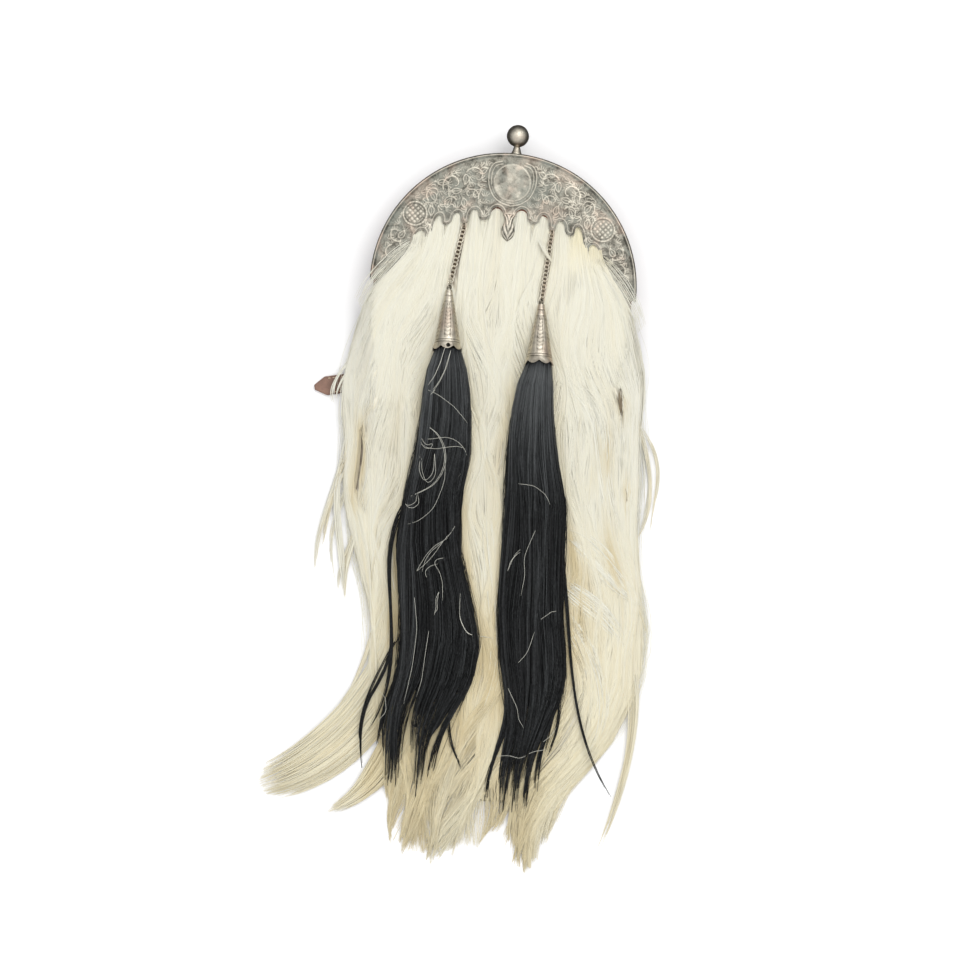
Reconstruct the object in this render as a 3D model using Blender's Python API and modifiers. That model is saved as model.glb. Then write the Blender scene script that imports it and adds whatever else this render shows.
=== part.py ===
"""A dress sporran lying on its back: silver cantle, leather pouch, white hair apron, two black tassels.

Metres, +Z up off the surface it lies on, +Y towards the ball on the cantle, +X to the right of its front.
Sizes are in millimetres round the centre of the cantle's rim, and each mesh is scaled to metres.
The last step moves the whole sporran so that its origin is the bottom centre of its box.
"""

import math
from collections import namedtuple

import bmesh
import bpy
from mathutils import Matrix, Vector

MM = 0.001
FIT_GAP = 0.3

# Heights off the surface, from the belt loops up to the front of the cantle.
LOOP_HEIGHT = 8.7
POUCH_BACK = LOOP_HEIGHT + FIT_GAP
POUCH_DEPTH = 18.0
POUCH_FRONT = POUCH_BACK + POUCH_DEPTH
PLATE_BACK = 29.8
PLATE_THICK = 1.2
PLATE_MIDDLE = PLATE_BACK + PLATE_THICK / 2
PLATE_FRONT = PLATE_BACK + PLATE_THICK

# Cantle.
CANTLE_RADIUS = 100.0
RIM_STEPS = 50
HALF_STEPS = 26
RIM_WALL = 1.2
RIM_BACK = 17.0
BORDER_WIDE = 5.8
BORDER_RISE = 0.8
BORDER_BEVEL = 0.6
LEG_END_Y = -2.5
LEG_INNER_X = 72.0
BOSS_Y = 77.7
BOSS_RADIUS = 14.2
BOSS_RISE = 1.5
ROUNDEL_X = 70.5
ROUNDEL_Y = 48.6
ROUNDEL_RADIUS = 8.8
ROUNDEL_RISE = 1.9
LEAF_SIDES = 7
DOME_SINK = 0.5
DOME_TOP_SHARE = 0.55

# Finial.
FINIAL_Z = 24.0
FINIAL_X = 1.3
BALL_RADIUS = 8.35
BALL_Y = 113.7
BALL_STEPS = 7
STEM_NECK_RADIUS = 1.9

StemStep = namedtuple("StemStep", "up radius")
# Up from the stem's foot on the cantle's rim.
STEM_STEPS = [
    StemStep(4.0, STEM_NECK_RADIUS),
    StemStep(2.2, 2.4),
    StemStep(1.0, 3.4),
    StemStep(0.0, 3.4),
    StemStep(0.0, 0.0),
]

# Leather.
LEATHER = 2.0
POUCH_RADIUS = CANTLE_RADIUS - RIM_WALL - 0.4
POUCH_TOP_STEPS = 14
MOUTH_HALF_WIDE = 78.0
MOUTH_LOW_Y = 30.0
MOUTH_TOP_Y = 120.0
MOUTH_BACK = POUCH_BACK + LEATHER + 0.05
MOUTH_FRONT = RIM_BACK - 0.55
LOOP_X = 45.0
LOOP_Y = 40.0
LOOP_LONG = 34.0
LOOP_WIDE = 15.0
LOOP_OUTER_ROUND = 3.4
LOOP_INNER_ROUND = 1.6
STRAP_WIDE = 14.2
STRAP_THICK = 2.5

# Chains, cones and tassels.
WIRE = 0.5
LINK_OVERLAP = 0.12
LINK_SIDES = 10
WIRE_SIDES = 5
EYE_RADIUS = 1.95
LEAN_ROOM = 0.1
CONE_LONG = 46.5
CONE_TOP_RADIUS = 2.4
CONE_RIM_RADIUS = 10.7
CONE_WALL = 0.8
CONE_LOBES = 7
CONE_SIDES = 3 * CONE_LOBES
CONE_BAND = 7.0
CONE_INSIDE_TOP = 2.0
LOBE_DEEP = 3.0
LOBE_ROUND = 1.5
CONE_SLOPE = (CONE_RIM_RADIUS - CONE_TOP_RADIUS) / CONE_LONG
APEX_SINK = 0.2
RIM_SINK = 0.6
CONE_EYE_SINK = 0.1
CHAIN_STEPS = 7
CHAIN_HALF_HIGH = 2.0
CHAIN_ROOM_ABOVE = 2.5

# The black hair beds half a millimetre into the furrows of the white hair's top.
REST_GAP = -0.5
TASSEL_SIDES = 10
TASSEL_FLAT_BACK = 0.82
HEAD_ROOM = 1.1 * FIT_GAP
HEAD_SQUEEZE = 0.97
HEAD_TOP = 6.0
HEAD_PAST_RIM = 0.6
TASSEL_END_STEP = 8.0
TASSEL_END_SHRINK = 0.3
TIP_LIFT = 0.6

EdgeStep = namedtuple("EdgeStep", "end_x end_y peak_y")
# The scalloped lower edge, from the left leg to the middle: arches, then the lobes between them.
EDGE_STEPS = [
    EdgeStep(-61.4, 32.6, 36.6),
    EdgeStep(-56.6, 37.6, 31.2),
    EdgeStep(-49.8, 44.8, 48.6),
    EdgeStep(-42.2, 47.0, 42.4),
    EdgeStep(-35.8, 48.8, 52.4),
    EdgeStep(-29.9, 49.6, 44.8),
    EdgeStep(-22.6, 51.4, 55.8),
    EdgeStep(-13.9, 53.0, 48.6),
    EdgeStep(-4.4, 52.6, 58.8),
]
EDGE_START = (-69.6, 28.6)
EDGE_ARC_STEPS = 4
EDGE_BEFORE = [(-LEG_INNER_X, LEG_END_Y), (-71.4, 14.0)]
# The left side of the pendant leaf in the middle, down to its tip.
PENDANT_SIDE = [(-2.2, 48.4), (-3.9, 43.6), (-3.6, 39.0), (-1.9, 35.2)]
PENDANT_TIP = (0.0, 33.8)

Leaf = namedtuple("Leaf", "x y long wide turn rise")
# Chased leaves and scrolls of the left half, which the right half mirrors. The turn is in degrees.
LEAVES = [
    Leaf(-22.0, 84.0, 15.0, 6.0, 60.0, 0.8),
    Leaf(-27.5, 71.0, 16.0, 6.0, 118.0, 0.8),
    Leaf(-41.0, 76.0, 16.0, 6.5, 30.0, 0.9),
    Leaf(-44.0, 62.5, 17.0, 6.0, 152.0, 0.8),
    Leaf(-57.0, 64.0, 14.0, 6.0, 66.0, 0.8),
    Leaf(-79.5, 31.0, 15.0, 6.5, 78.0, 0.9),
    Leaf(-83.5, 13.5, 14.0, 6.0, 104.0, 0.8),
]

PouchCorner = namedtuple("PouchCorner", "x y")
# Half of the pouch's outline below the cantle, from the leg down to the middle of its round foot.
POUCH_SIDE = [
    PouchCorner(97.4, -14.0),
    PouchCorner(94.0, -38.0),
    PouchCorner(87.0, -62.0),
    PouchCorner(73.0, -81.0),
    PouchCorner(52.0, -91.5),
    PouchCorner(27.0, -95.5),
]
POUCH_FOOT_Y = -97.0

PouchRing = namedtuple("PouchRing", "level inset shrink")
# From the back, round the gusset with its two piped seams, to the front, which swells towards its middle.
# level goes from 0 at the back to 1 at the front, inset draws the outline in, shrink scales it to the middle.
POUCH_RINGS = [
    PouchRing(0.0, 4.0, 0.0),
    PouchRing(0.08, 1.6, 0.0),
    PouchRing(0.455, 0.6, 0.0),
    PouchRing(0.82, 2.4, 0.0),
    PouchRing(0.91, 6.5, 0.0),
    PouchRing(1.0, 6.5, 0.45),
]

StrapStep = namedtuple("StrapStep", "along bottom half_wide")
# Along the strap from its blunt tip towards the stitches behind the pouch.
STRAP_STEPS = [
    StrapStep(0.0, 0.0, 1.8),
    StrapStep(8.5, 0.0, STRAP_WIDE / 2),
    StrapStep(24.0, 0.2, STRAP_WIDE / 2),
    StrapStep(38.0, 2.6, STRAP_WIDE / 2),
    StrapStep(50.0, POUCH_BACK - FIT_GAP - STRAP_THICK, STRAP_WIDE / 2),
    StrapStep(88.0, POUCH_BACK - FIT_GAP - STRAP_THICK, STRAP_WIDE / 2),
]
STRAP_TIP = (-135.5, -86.8)
STRAP_TURN = math.radians(12.6)

HairRow = namedtuple("HairRow", "y left shoulder_left shoulder_right right crown brow hem bed")
# Sections across the white hair. It rests on the pouch between its shoulders, and its hems hang beside it.
# crown, brow and hem are the top's heights in the middle, at the shoulders and at the hems.
# bed is the height of its underside.
HAIR_ROWS = [
    HairRow(43.0, -52.0, -46.0, 48.0, 55.0, 29.2, 29.0, 28.9, 27.6),
    HairRow(33.0, -61.0, -54.0, 55.0, 63.0, 30.6, 30.2, 29.6, 27.4),
    HairRow(14.0, -68.5, -62.0, 62.0, 69.0, 32.6, 32.2, 31.0, 27.4),
    HairRow(-4.6, -98.6, -96.0, 96.5, 99.5, 33.2, 34.8, 34.2, 27.4),
    HairRow(-30.0, -106.0, -97.5, 97.5, 106.5, 33.4, 31.6, 13.0, 27.4),
    HairRow(-60.0, -111.5, -92.5, 93.5, 111.5, 33.4, 31.2, 9.0, 27.4),
    HairRow(-97.0, -113.0, -88.0, 89.0, 114.5, 32.4, 28.5, 8.0, 26.0),
    HairRow(-127.0, -111.0, -84.0, 88.0, 115.0, 26.0, 19.0, 6.5, 13.0),
    HairRow(-160.0, -106.0, -80.0, 90.0, 115.0, 19.5, 14.5, 5.5, 3.0),
    HairRow(-200.0, -95.0, -72.0, 92.0, 118.0, 15.5, 12.0, 5.0, 0.0),
    HairRow(-245.0, -79.0, -62.0, 96.0, 124.0, 13.0, 10.5, 4.5, 0.0),
    HairRow(-300.0, -72.0, -56.0, 88.0, 118.0, 11.0, 9.5, 4.0, 0.0),
    HairRow(-345.0, -62.0, -46.0, 78.0, 98.0, 9.0, 8.0, 3.5, 0.0),
    HairRow(-388.0, -40.0, -28.0, 54.0, 68.0, 6.0, 5.0, 3.0, 0.0),
]
# An even count, because every other ridge also has a point of the underside below it.
HAIR_RIDGES = 8
RIDGE_DEEP = 1.3
HEM_TAPER = 1.5
HEM_BOTTOM_HIGH = 5.2
LEG_PAST = 10.0
STRAP_CLEAR_Y = -110.0
HAIR_FOOT_LONG = 42.0
FOOT_THICK = 3.0
HAIR_WAVE = 2.6
HAIR_WAVE_LONG = 150.0

Lock = namedtuple("Lock", "x0 y0 x1 y1 x2 y2 x3 y3 wide0 wide1 wide2 wide3 thick0 thick3")
# Tufts that come out of the cantle's arches and spread into the hair, from left to right.
TUFTS = [
    Lock(-63, 40, -72, 24, -88, 6, -97, -16, 6, 15, 22, 20, 1.6, 5.0),
    Lock(-53, 52, -60, 38, -74, 18, -88, -12, 6, 11, 16, 18, 1.6, 5.0),
    Lock(-39, 56, -41, 42, -46, 26, -52, 6, 6, 9, 13, 15, 1.6, 4.5),
    Lock(-26.5, 59, -26.0, 45, -27, 28, -30, 6, 6, 9, 13, 15, 1.6, 4.5),
    Lock(-9.5, 62, -10.5, 48, -12, 30, -13, 6, 7.5, 11, 14, 15, 1.6, 4.5),
    Lock(9.5, 62, 10.0, 48, 9, 30, 6, 6, 7.5, 10, 12, 13, 1.6, 4.5),
    Lock(26.5, 59, 23.0, 46, 22, 28, 20, 6, 6, 9, 12, 13, 1.6, 4.5),
    Lock(39, 56, 40, 42, 42, 26, 46, 6, 6, 9, 13, 15, 1.6, 4.5),
    Lock(53, 52, 59, 38, 68, 18, 78, -12, 6, 11, 15, 18, 1.6, 5.0),
    Lock(63, 40, 74, 24, 88, 4, 99, -16, 6, 11, 15, 18, 1.6, 5.0),
]
TUFT_ROOT_TOP = 29.45
TUFT_RISE_PART = 0.35
TUFT_SETTLE_PART = 0.6
TUFT_LIFT = 0.9
OVER_LEG_LOW = PLATE_FRONT + 1.27
OVER_LEG_TOP = 35.2
LEG_COVER_X = 62.0
LEG_COVER_WIDE = 8.0
LEG_COVER_PAST = 5.0
RIM_ROOM = 0.5
LOCK_LOWEST = 0.05
LOCK_FALL_PART = 0.5

# Locks that leave the white hair at its sides and foot, from the left side round to the right.
FOOT_LOCKS = [
    Lock(-92, -120, -110, -160, -121, -192, -122.5, -226, 16, 14, 8, 2.2, 6.0, 2.0),
    Lock(-84, -150, -92, -185, -97, -215, -98.5, -246, 16, 12, 7, 2.2, 6.0, 2.0),
    Lock(-72, -190, -78, -208, -80, -224, -81.5, -240, 12, 9, 6, 2.2, 6.0, 2.0),
    Lock(-66, -235, -75, -268, -83, -298, -95.0, -322, 12, 8, 4.5, 2.0, 6.0, 2.0),
    Lock(-44, -285, -72, -322, -108, -362, -153, -395, 34, 38, 34, 16, 8.0, 3.0),
    Lock(-40, -330, -56, -362, -73, -386, -98, -407, 22, 24, 19, 8, 7.5, 2.5),
    Lock(-27, -362, -34, -384, -39, -402, -41, -419, 24, 26, 21, 9, 5.5, 2.2),
    Lock(-12, -368, -15, -390, -15, -410, -13, -427, 26, 27, 23, 11, 5.5, 2.2),
    Lock(8, -368, 9, -390, 8, -412, 4, -429, 28, 28, 22, 10, 5.5, 2.2),
    Lock(30, -368, 30, -388, 30, -404, 30, -419, 28, 27, 21, 9, 5.5, 2.2),
    Lock(46, -366, 50, -388, 56, -410, 63, -429, 26, 27, 21, 8, 5.5, 2.2),
    Lock(66, -330, 74, -348, 80, -364, 84, -380, 26, 27, 21, 10, 6.5, 2.5),
    Lock(102, -262, 123, -300, 122, -362, 108, -420, 24, 18, 9, 2.2, 6.0, 2.0),
    Lock(92, -165, 108, -196, 121, -226, 131.5, -252, 22, 20, 14, 3, 6.0, 2.0),
    Lock(106, -98, 125, -118, 132, -150, 126, -177, 8, 3.5, 2.6, 2.0, 4.0, 1.6),
]

TasselRow = namedtuple("TasselRow", "y left right thick")
TASSEL_LEFT_ROWS = [
    TasselRow(-60.0, -49.6, -23.2, 18.5),
    TasselRow(-75.0, -52.0, -19.2, 16.5),
    TasselRow(-97.0, -52.4, -15.8, 14.5),
    TasselRow(-127.0, -53.6, -15.0, 12.5),
    TasselRow(-160.0, -59.0, -20.0, 11.5),
    TasselRow(-200.0, -60.5, -16.0, 11.0),
    TasselRow(-245.0, -55.0, -1.0, 10.0),
    TasselRow(-280.0, -53.0, 4.8, 9.5),
    TasselRow(-300.0, -54.5, 1.0, 9.0),
    TasselRow(-330.0, -62.0, -8.0, 8.0),
]
TASSEL_RIGHT_ROWS = [
    TasselRow(-64.0, 18.6, 42.4, 18.0),
    TasselRow(-75.0, 16.8, 43.6, 16.5),
    TasselRow(-97.0, 14.6, 45.6, 14.5),
    TasselRow(-127.0, 14.6, 50.0, 12.5),
    TasselRow(-160.0, 16.4, 60.0, 11.5),
    TasselRow(-200.0, 18.4, 63.6, 11.0),
    TasselRow(-245.0, 18.8, 65.0, 10.0),
    TasselRow(-280.0, 22.5, 70.4, 9.5),
    TasselRow(-300.0, 27.0, 71.0, 9.0),
    TasselRow(-330.0, 34.5, 66.5, 8.0),
]
# Tips of the black tassels, and one loose lock at the outer side of each.
TASSEL_LEFT_TIPS = [
    Lock(-52, -315, -61, -338, -65, -356, -62.0, -377, 17, 14, 9, 2.4, 7.0, 2.4),
    Lock(-44, -315, -51, -342, -54, -366, -52.0, -389, 17, 15, 11, 2.4, 7.0, 2.4),
    Lock(-34, -315, -40, -342, -43, -368, -42.0, -390, 17, 14, 9, 2.4, 7.0, 2.4),
    Lock(-22, -310, -27, -336, -30, -358, -31.0, -380, 17, 13, 8, 2.4, 7.0, 2.4),
    Lock(-8, -290, -9, -322, -14, -346, -23.0, -374, 16, 13, 8, 2.4, 7.0, 2.4),
    Lock(-54, -180, -70, -222, -58, -282, -75.0, -368, 8, 4.0, 3.6, 2.2, 4.0, 2.0),
]
TASSEL_RIGHT_TIPS = [
    Lock(42, -318, 38, -346, 35, -374, 31.0, -400, 18, 14, 11, 3.0, 7.0, 2.4),
    Lock(51, -318, 46, -348, 43, -374, 42.0, -398, 18, 15, 12, 3.0, 7.0, 2.4),
    Lock(58, -318, 58, -338, 57, -358, 55.0, -378, 15, 12, 8, 2.4, 7.0, 2.4),
    Lock(36, -300, 32, -338, 23, -362, 20.8, -386, 9, 5.0, 4, 2.2, 6.0, 2.2),
    Lock(56, -190, 72, -250, 84, -314, 115.0, -377, 8, 3.6, 3.2, 2.0, 4.0, 2.0),
]
TUFT_SECTIONS = 3
LOCK_SECTIONS = 4
LOCK_SIDES = 6
LOOK_AHEAD = 0.01

Side = namedtuple("Side", "eye_x eye_y apex_x apex_y rim_x rim_y links")
LEFT = Side(-32.85, 43.4, -40.0, -6.6, -37.4, -52.1, 15)
RIGHT = Side(32.85, 43.4, 29.6, -11.4, 31.6, -56.9, 17)


def clear_scene():
    for obj in list(bpy.data.objects):
        bpy.data.objects.remove(obj, do_unlink=True)


def new_collection(name):
    collection = bpy.data.collections.new(name)
    bpy.context.scene.collection.children.link(collection)
    return collection


def new_material(name, colour, roughness, metallic):
    material = bpy.data.materials.new(name)
    material.use_nodes = True
    material.diffuse_color = (*colour, 1.0)
    shader = material.node_tree.nodes["Principled BSDF"]
    shader.inputs["Base Color"].default_value = (*colour, 1.0)
    shader.inputs["Roughness"].default_value = roughness
    shader.inputs["Metallic"].default_value = metallic
    return material


clear_scene()
SPORRAN = new_collection("sporran")
HELPERS = new_collection("helpers")
SILVER = new_material("tarnished_silver", (0.42, 0.40, 0.34), 0.38, 1.0)
BRIGHT_SILVER = new_material("engraved_silver", (0.55, 0.50, 0.42), 0.32, 1.0)
CHAIN_SILVER = new_material("chain_silver", (0.30, 0.28, 0.24), 0.35, 1.0)
POUCH_LEATHER = new_material("pouch_leather", (0.17, 0.06, 0.035), 0.60, 0.0)
STRAP_LEATHER = new_material("strap_leather", (0.19, 0.07, 0.04), 0.55, 0.0)
WHITE_HAIR = new_material("white_horsehair", (0.80, 0.75, 0.60), 0.55, 0.0)
BLACK_HAIR = new_material("black_horsehair", (0.018, 0.020, 0.022), 0.42, 0.0)


def add_object(name, mesh, material=None):
    """An object of the sporran, or with no material a helper that is cut from or joined to one."""
    obj = bpy.data.objects.new(name, mesh)
    if material is None:
        HELPERS.objects.link(obj)
        obj.hide_render = True
        obj.display_type = "WIRE"
    else:
        SPORRAN.objects.link(obj)
        mesh.materials.append(material)
    return obj


def finish_mesh(name, bm):
    """Turns a bmesh in millimetres into a mesh in metres, faces outwards and smooth up to 35 degrees."""
    bmesh.ops.remove_doubles(bm, verts=bm.verts, dist=1e-5)
    bmesh.ops.recalc_face_normals(bm, faces=bm.faces)
    bmesh.ops.scale(bm, vec=(MM, MM, MM), verts=bm.verts)
    mesh = bpy.data.meshes.new(name)
    bm.to_mesh(mesh)
    bm.free()
    mesh.shade_smooth()
    mesh.set_sharp_from_angle(angle=math.radians(35))
    return mesh


def add_loft(bm, rings):
    """Skins rings of equal counts with quads and closes both ends."""
    rows = [[bm.verts.new(point) for point in ring] for ring in rings]
    for low, high in zip(rows, rows[1:]):
        for i in range(len(low)):
            j = (i + 1) % len(low)
            bm.faces.new((low[i], low[j], high[j], high[i]))
    bm.faces.new(rows[0][::-1])
    bm.faces.new(rows[-1])


def boolean(obj, other, operation, solver="EXACT"):
    modifier = obj.modifiers.new(other.name, "BOOLEAN")
    modifier.operation = operation
    modifier.object = other
    modifier.solver = solver


def mesh_from_curve(name, curve):
    """The welded mesh of a curve object, which is removed."""
    SPORRAN.objects.link(curve)
    evaluated = curve.evaluated_get(bpy.context.evaluated_depsgraph_get())
    mesh = bpy.data.meshes.new_from_object(evaluated)
    mesh.name = name
    bm = bmesh.new()
    bm.from_mesh(mesh)
    bmesh.ops.remove_doubles(bm, verts=bm.verts, dist=0.01 * MM)
    bmesh.ops.recalc_face_normals(bm, faces=bm.faces)
    bm.to_mesh(mesh)
    bm.free()
    bpy.data.objects.remove(curve, do_unlink=True)
    return mesh


def box_mesh(name, low, high):
    """The mesh of a box between its lowest and highest corners."""
    low = Vector(low)
    high = Vector(high)
    bm = bmesh.new()
    bmesh.ops.create_cube(bm, size=1.0)
    bmesh.ops.scale(bm, vec=high - low, verts=bm.verts)
    bmesh.ops.translate(bm, vec=(low + high) / 2, verts=bm.verts)
    return finish_mesh(name, bm)


def flat_curve(name, outlines, thick):
    """A curve object of flat closed outlines in the XY plane, filled and thick along Z about its plane."""
    data = bpy.data.curves.new(name, "CURVE")
    data.dimensions = "2D"
    data.fill_mode = "BOTH"
    data.extrude = thick / 2 * MM
    for outline in outlines:
        spline = data.splines.new("POLY")
        spline.points.add(len(outline) - 1)
        spline.use_cyclic_u = True
        for point, (x, y) in zip(spline.points, outline):
            point.co = (x * MM, y * MM, 0.0, 1.0)
    return bpy.data.objects.new(name, data)


def wire_curve(name, points, radius):
    """A curve object with round walls and closed ends, along points."""
    data = bpy.data.curves.new(name, "CURVE")
    data.dimensions = "3D"
    data.bevel_depth = radius * MM
    data.bevel_resolution = 1
    data.use_fill_caps = True
    spline = data.splines.new("POLY")
    spline.points.add(len(points) - 1)
    for point, co in zip(spline.points, points):
        point.co = (*(Vector(co) * MM), 1.0)
    return bpy.data.objects.new(name, data)


def turned(name, profile, steps, cyclic, material):
    """A profile of radius and height pairs turned about Z. The outer side runs from the top to the bottom."""
    bm = bmesh.new()
    verts = [bm.verts.new((radius, 0.0, height)) for radius, height in profile]
    for low, high in zip(verts, verts[1:]):
        bm.edges.new((low, high))
    if cyclic:
        bm.edges.new((verts[-1], verts[0]))
    bmesh.ops.scale(bm, vec=(MM, MM, MM), verts=bm.verts)
    mesh = bpy.data.meshes.new(name)
    bm.to_mesh(mesh)
    bm.free()
    obj = add_object(name, mesh, material)
    screw = obj.modifiers.new("turn", "SCREW")
    screw.steps = steps
    screw.render_steps = steps
    screw.use_merge_vertices = True
    screw.merge_threshold = 0.01 * MM
    screw.use_smooth_shade = True
    return obj


def add_ring(bm, centre, axis, along, radius, wire, sides, wire_sides):
    """A ring of wire round an axis, with a flat side of it across the line along."""
    side = axis.cross(along)
    rings = []
    for i in range(sides):
        angle = 2 * math.pi * (i + 0.5) / sides
        outward = along * math.cos(angle) + side * math.sin(angle)
        rings.append(
            [
                centre
                + outward * (radius + wire * math.cos(2 * math.pi * k / wire_sides))
                + axis * (wire * math.sin(2 * math.pi * k / wire_sides))
                for k in range(wire_sides)
            ]
        )
    rows = [[bm.verts.new(point) for point in ring] for ring in rings]
    for i in range(sides):
        low = rows[i]
        high = rows[(i + 1) % sides]
        for k in range(wire_sides):
            m = (k + 1) % wire_sides
            bm.faces.new((low[k], low[m], high[m], high[k]))


def between(low, high, part):
    return low + (high - low) * part


def smooth_through(points, part):
    """A point of the smooth curve that goes through four points at 0, 1/3, 2/3 and 1."""
    parts = (0.0, 1 / 3, 2 / 3, 1.0)
    total = 0.0
    for i, value in enumerate(points):
        weight = 1.0
        for j, other in enumerate(parts):
            if i != j:
                weight *= (part - other) / (parts[i] - other)
        total += value * weight
    return total


# --- Cantle ---------------------------------------------------------------------------------------


def edge_outline():
    """The left half of the scalloped lower edge, from the leg's foot to the tip of the middle leaf."""
    points = EDGE_BEFORE + [EDGE_START]
    start = EDGE_START
    for step in EDGE_STEPS:
        middle_y = (start[1] + step.end_y) / 2
        for i in range(1, EDGE_ARC_STEPS):
            angle = math.pi * i / EDGE_ARC_STEPS
            part = (1 - math.cos(angle)) / 2
            x = between(start[0], step.end_x, part)
            y = between(start[1], step.end_y, part) + (step.peak_y - middle_y) * math.sin(angle)
            points.append((x, y))
        start = (step.end_x, step.end_y)
        points.append(start)
    return points + PENDANT_SIDE


def drawn_in(outline, inset):
    """A closed anticlockwise outline drawn in by a distance, or let out by a negative one."""
    drawn = []
    for i, point in enumerate(outline):
        ahead = Vector(outline[(i + 1) % len(outline)])
        along = (ahead - Vector(outline[i - 1])).normalized()
        drawn.append(Vector(point) + Vector((-along.y, along.x)) * inset)
    return drawn


def half_round(radius, low_y):
    """An arc from the right leg over the top to the left leg."""
    first = math.asin(low_y / radius)
    turn = (math.pi - 2 * first) / HALF_STEPS
    angles = [first + turn * i for i in range(HALF_STEPS + 1)]
    return [(radius * math.cos(angle), radius * math.sin(angle)) for angle in angles]


def cantle_outline():
    left = edge_outline()
    lower = left + [PENDANT_TIP] + [(-x, y) for x, y in reversed(left)]
    return lower + half_round(CANTLE_RADIUS - RIM_WALL / 2, LEG_END_Y)


def flat_plate(name, outline, low, high):
    """The mesh of a flat outline between two heights."""
    middle = (low + high) / 2
    mesh = mesh_from_curve(name, flat_curve(name, [outline], high - low))
    mesh.transform(Matrix.Translation((0.0, 0.0, middle * MM)))
    return mesh


def build_rim():
    """The border band and the side wall, turned whole and cut off below the legs."""
    border_inner = CANTLE_RADIUS - BORDER_WIDE
    top = PLATE_FRONT + BORDER_RISE
    profile = [
        (border_inner, PLATE_MIDDLE),
        (border_inner, top - BORDER_BEVEL),
        (border_inner + BORDER_BEVEL, top),
        (CANTLE_RADIUS - BORDER_BEVEL, top),
        (CANTLE_RADIUS, PLATE_FRONT),
        (CANTLE_RADIUS, RIM_BACK),
        (CANTLE_RADIUS - RIM_WALL, RIM_BACK),
        (CANTLE_RADIUS - RIM_WALL, PLATE_MIDDLE),
    ]
    rim = turned("cantle", profile, RIM_STEPS, True, SILVER)
    reach = CANTLE_RADIUS + LEG_PAST
    cutter = box_mesh("leg_cutter", (-reach, -reach, 0.0), (reach, LEG_END_Y, PLATE_FRONT + LEG_PAST))
    boolean(rim, add_object("leg_cutter", cutter), "DIFFERENCE")
    return rim


def add_dome(bm, leaf, sides):
    """A low dome with a flat top, as long and wide as a leaf, which starts inside the plate."""
    made = bmesh.ops.create_cone(
        bm, cap_ends=True, cap_tris=False, segments=sides, radius1=1.0, radius2=DOME_TOP_SHARE, depth=1.0
    )
    place = (
        Matrix.Translation((leaf.x, leaf.y, PLATE_FRONT - DOME_SINK))
        @ Matrix.Rotation(math.radians(leaf.turn), 4, "Z")
        @ Matrix.Diagonal((leaf.long / 2, leaf.wide / 2, leaf.rise + DOME_SINK, 1.0))
        @ Matrix.Translation((0.0, 0.0, 0.5))
    )
    bmesh.ops.transform(bm, matrix=place, verts=made["verts"])


def build_relief():
    """Boss, roundels and leaves as low domes that sink into the plate."""
    bm = bmesh.new()
    add_dome(bm, Leaf(0.0, BOSS_Y, 2 * BOSS_RADIUS, 2 * BOSS_RADIUS, 0.0, BOSS_RISE), 20)
    for side in (-1, 1):
        round_size = 2 * ROUNDEL_RADIUS
        roundel = Leaf(side * ROUNDEL_X, ROUNDEL_Y, round_size, round_size, 0.0, ROUNDEL_RISE)
        add_dome(bm, roundel, 12)
        for leaf in LEAVES:
            add_dome(bm, leaf._replace(x=-side * leaf.x, turn=-side * leaf.turn), LEAF_SIDES)
    return add_object("cantle_relief", finish_mesh("cantle_relief", bm))


def build_eyes():
    """Small wire eyes behind two lobes, which the chains hang from. They lean, so end links cross them."""
    bm = bmesh.new()
    axis = Vector((-1.0, 0.0, 1.0)).normalized()
    for side in (LEFT, RIGHT):
        centre = Vector((side.eye_x, side.eye_y, PLATE_MIDDLE))
        add_ring(bm, centre, axis, Vector((0, 1, 0)), EYE_RADIUS, WIRE, LINK_SIDES, WIRE_SIDES)
    return add_object("cantle_eyes", finish_mesh("cantle_eyes", bm))


def build_cantle():
    cantle = build_rim()
    plate = flat_plate("cantle_plate", cantle_outline(), PLATE_BACK, PLATE_FRONT)
    boolean(cantle, add_object("cantle_plate", plate), "UNION")
    boolean(cantle, build_relief(), "UNION")
    boolean(cantle, build_eyes(), "UNION")
    return cantle


# --- Finial ---------------------------------------------------------------------------------------


def build_finial():
    """The ball and its flared stem, turned about Z and then laid along +Y."""
    foot = CANTLE_RADIUS + FIT_GAP
    profile = []
    stem_angle = math.asin(STEM_NECK_RADIUS / BALL_RADIUS)
    for i in range(BALL_STEPS + 1):
        angle = (math.pi - stem_angle) * i / BALL_STEPS
        profile.append((BALL_RADIUS * math.sin(angle), BALL_Y + BALL_RADIUS * math.cos(angle)))
    profile += [(step.radius, foot + step.up) for step in STEM_STEPS]
    finial = turned("finial", profile, 2 * BALL_STEPS, False, SILVER)
    finial.rotation_euler.x = math.radians(-90)
    finial.location = (FINIAL_X * MM, 0.0, FINIAL_Z * MM)
    return finial


# --- Leather --------------------------------------------------------------------------------------


def pouch_outline(inset):
    """The pouch's outline drawn in by a distance, the round top inside the cantle and then the sides."""
    top = []
    for i in range(POUCH_TOP_STEPS + 1):
        angle = math.pi * i / POUCH_TOP_STEPS
        top.append(Vector((POUCH_RADIUS * math.cos(angle), POUCH_RADIUS * math.sin(angle))))
    left_side = [Vector((-corner.x, corner.y)) for corner in POUCH_SIDE]
    right_side = [Vector((corner.x, corner.y)) for corner in reversed(POUCH_SIDE)]
    return drawn_in(top + left_side + [Vector((0.0, POUCH_FOOT_Y))] + right_side, inset)


def pouch_rings(skin):
    """Rings from the back round the gusset to the front, all of them a skin inside the outside."""
    rings = []
    for row in POUCH_RINGS:
        height = between(POUCH_BACK + skin, POUCH_FRONT - skin, row.level)
        outline = pouch_outline(row.inset + skin)
        rings.append([Vector((p.x * (1 - row.shrink), p.y * (1 - row.shrink), height)) for p in outline])
    return rings


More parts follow.
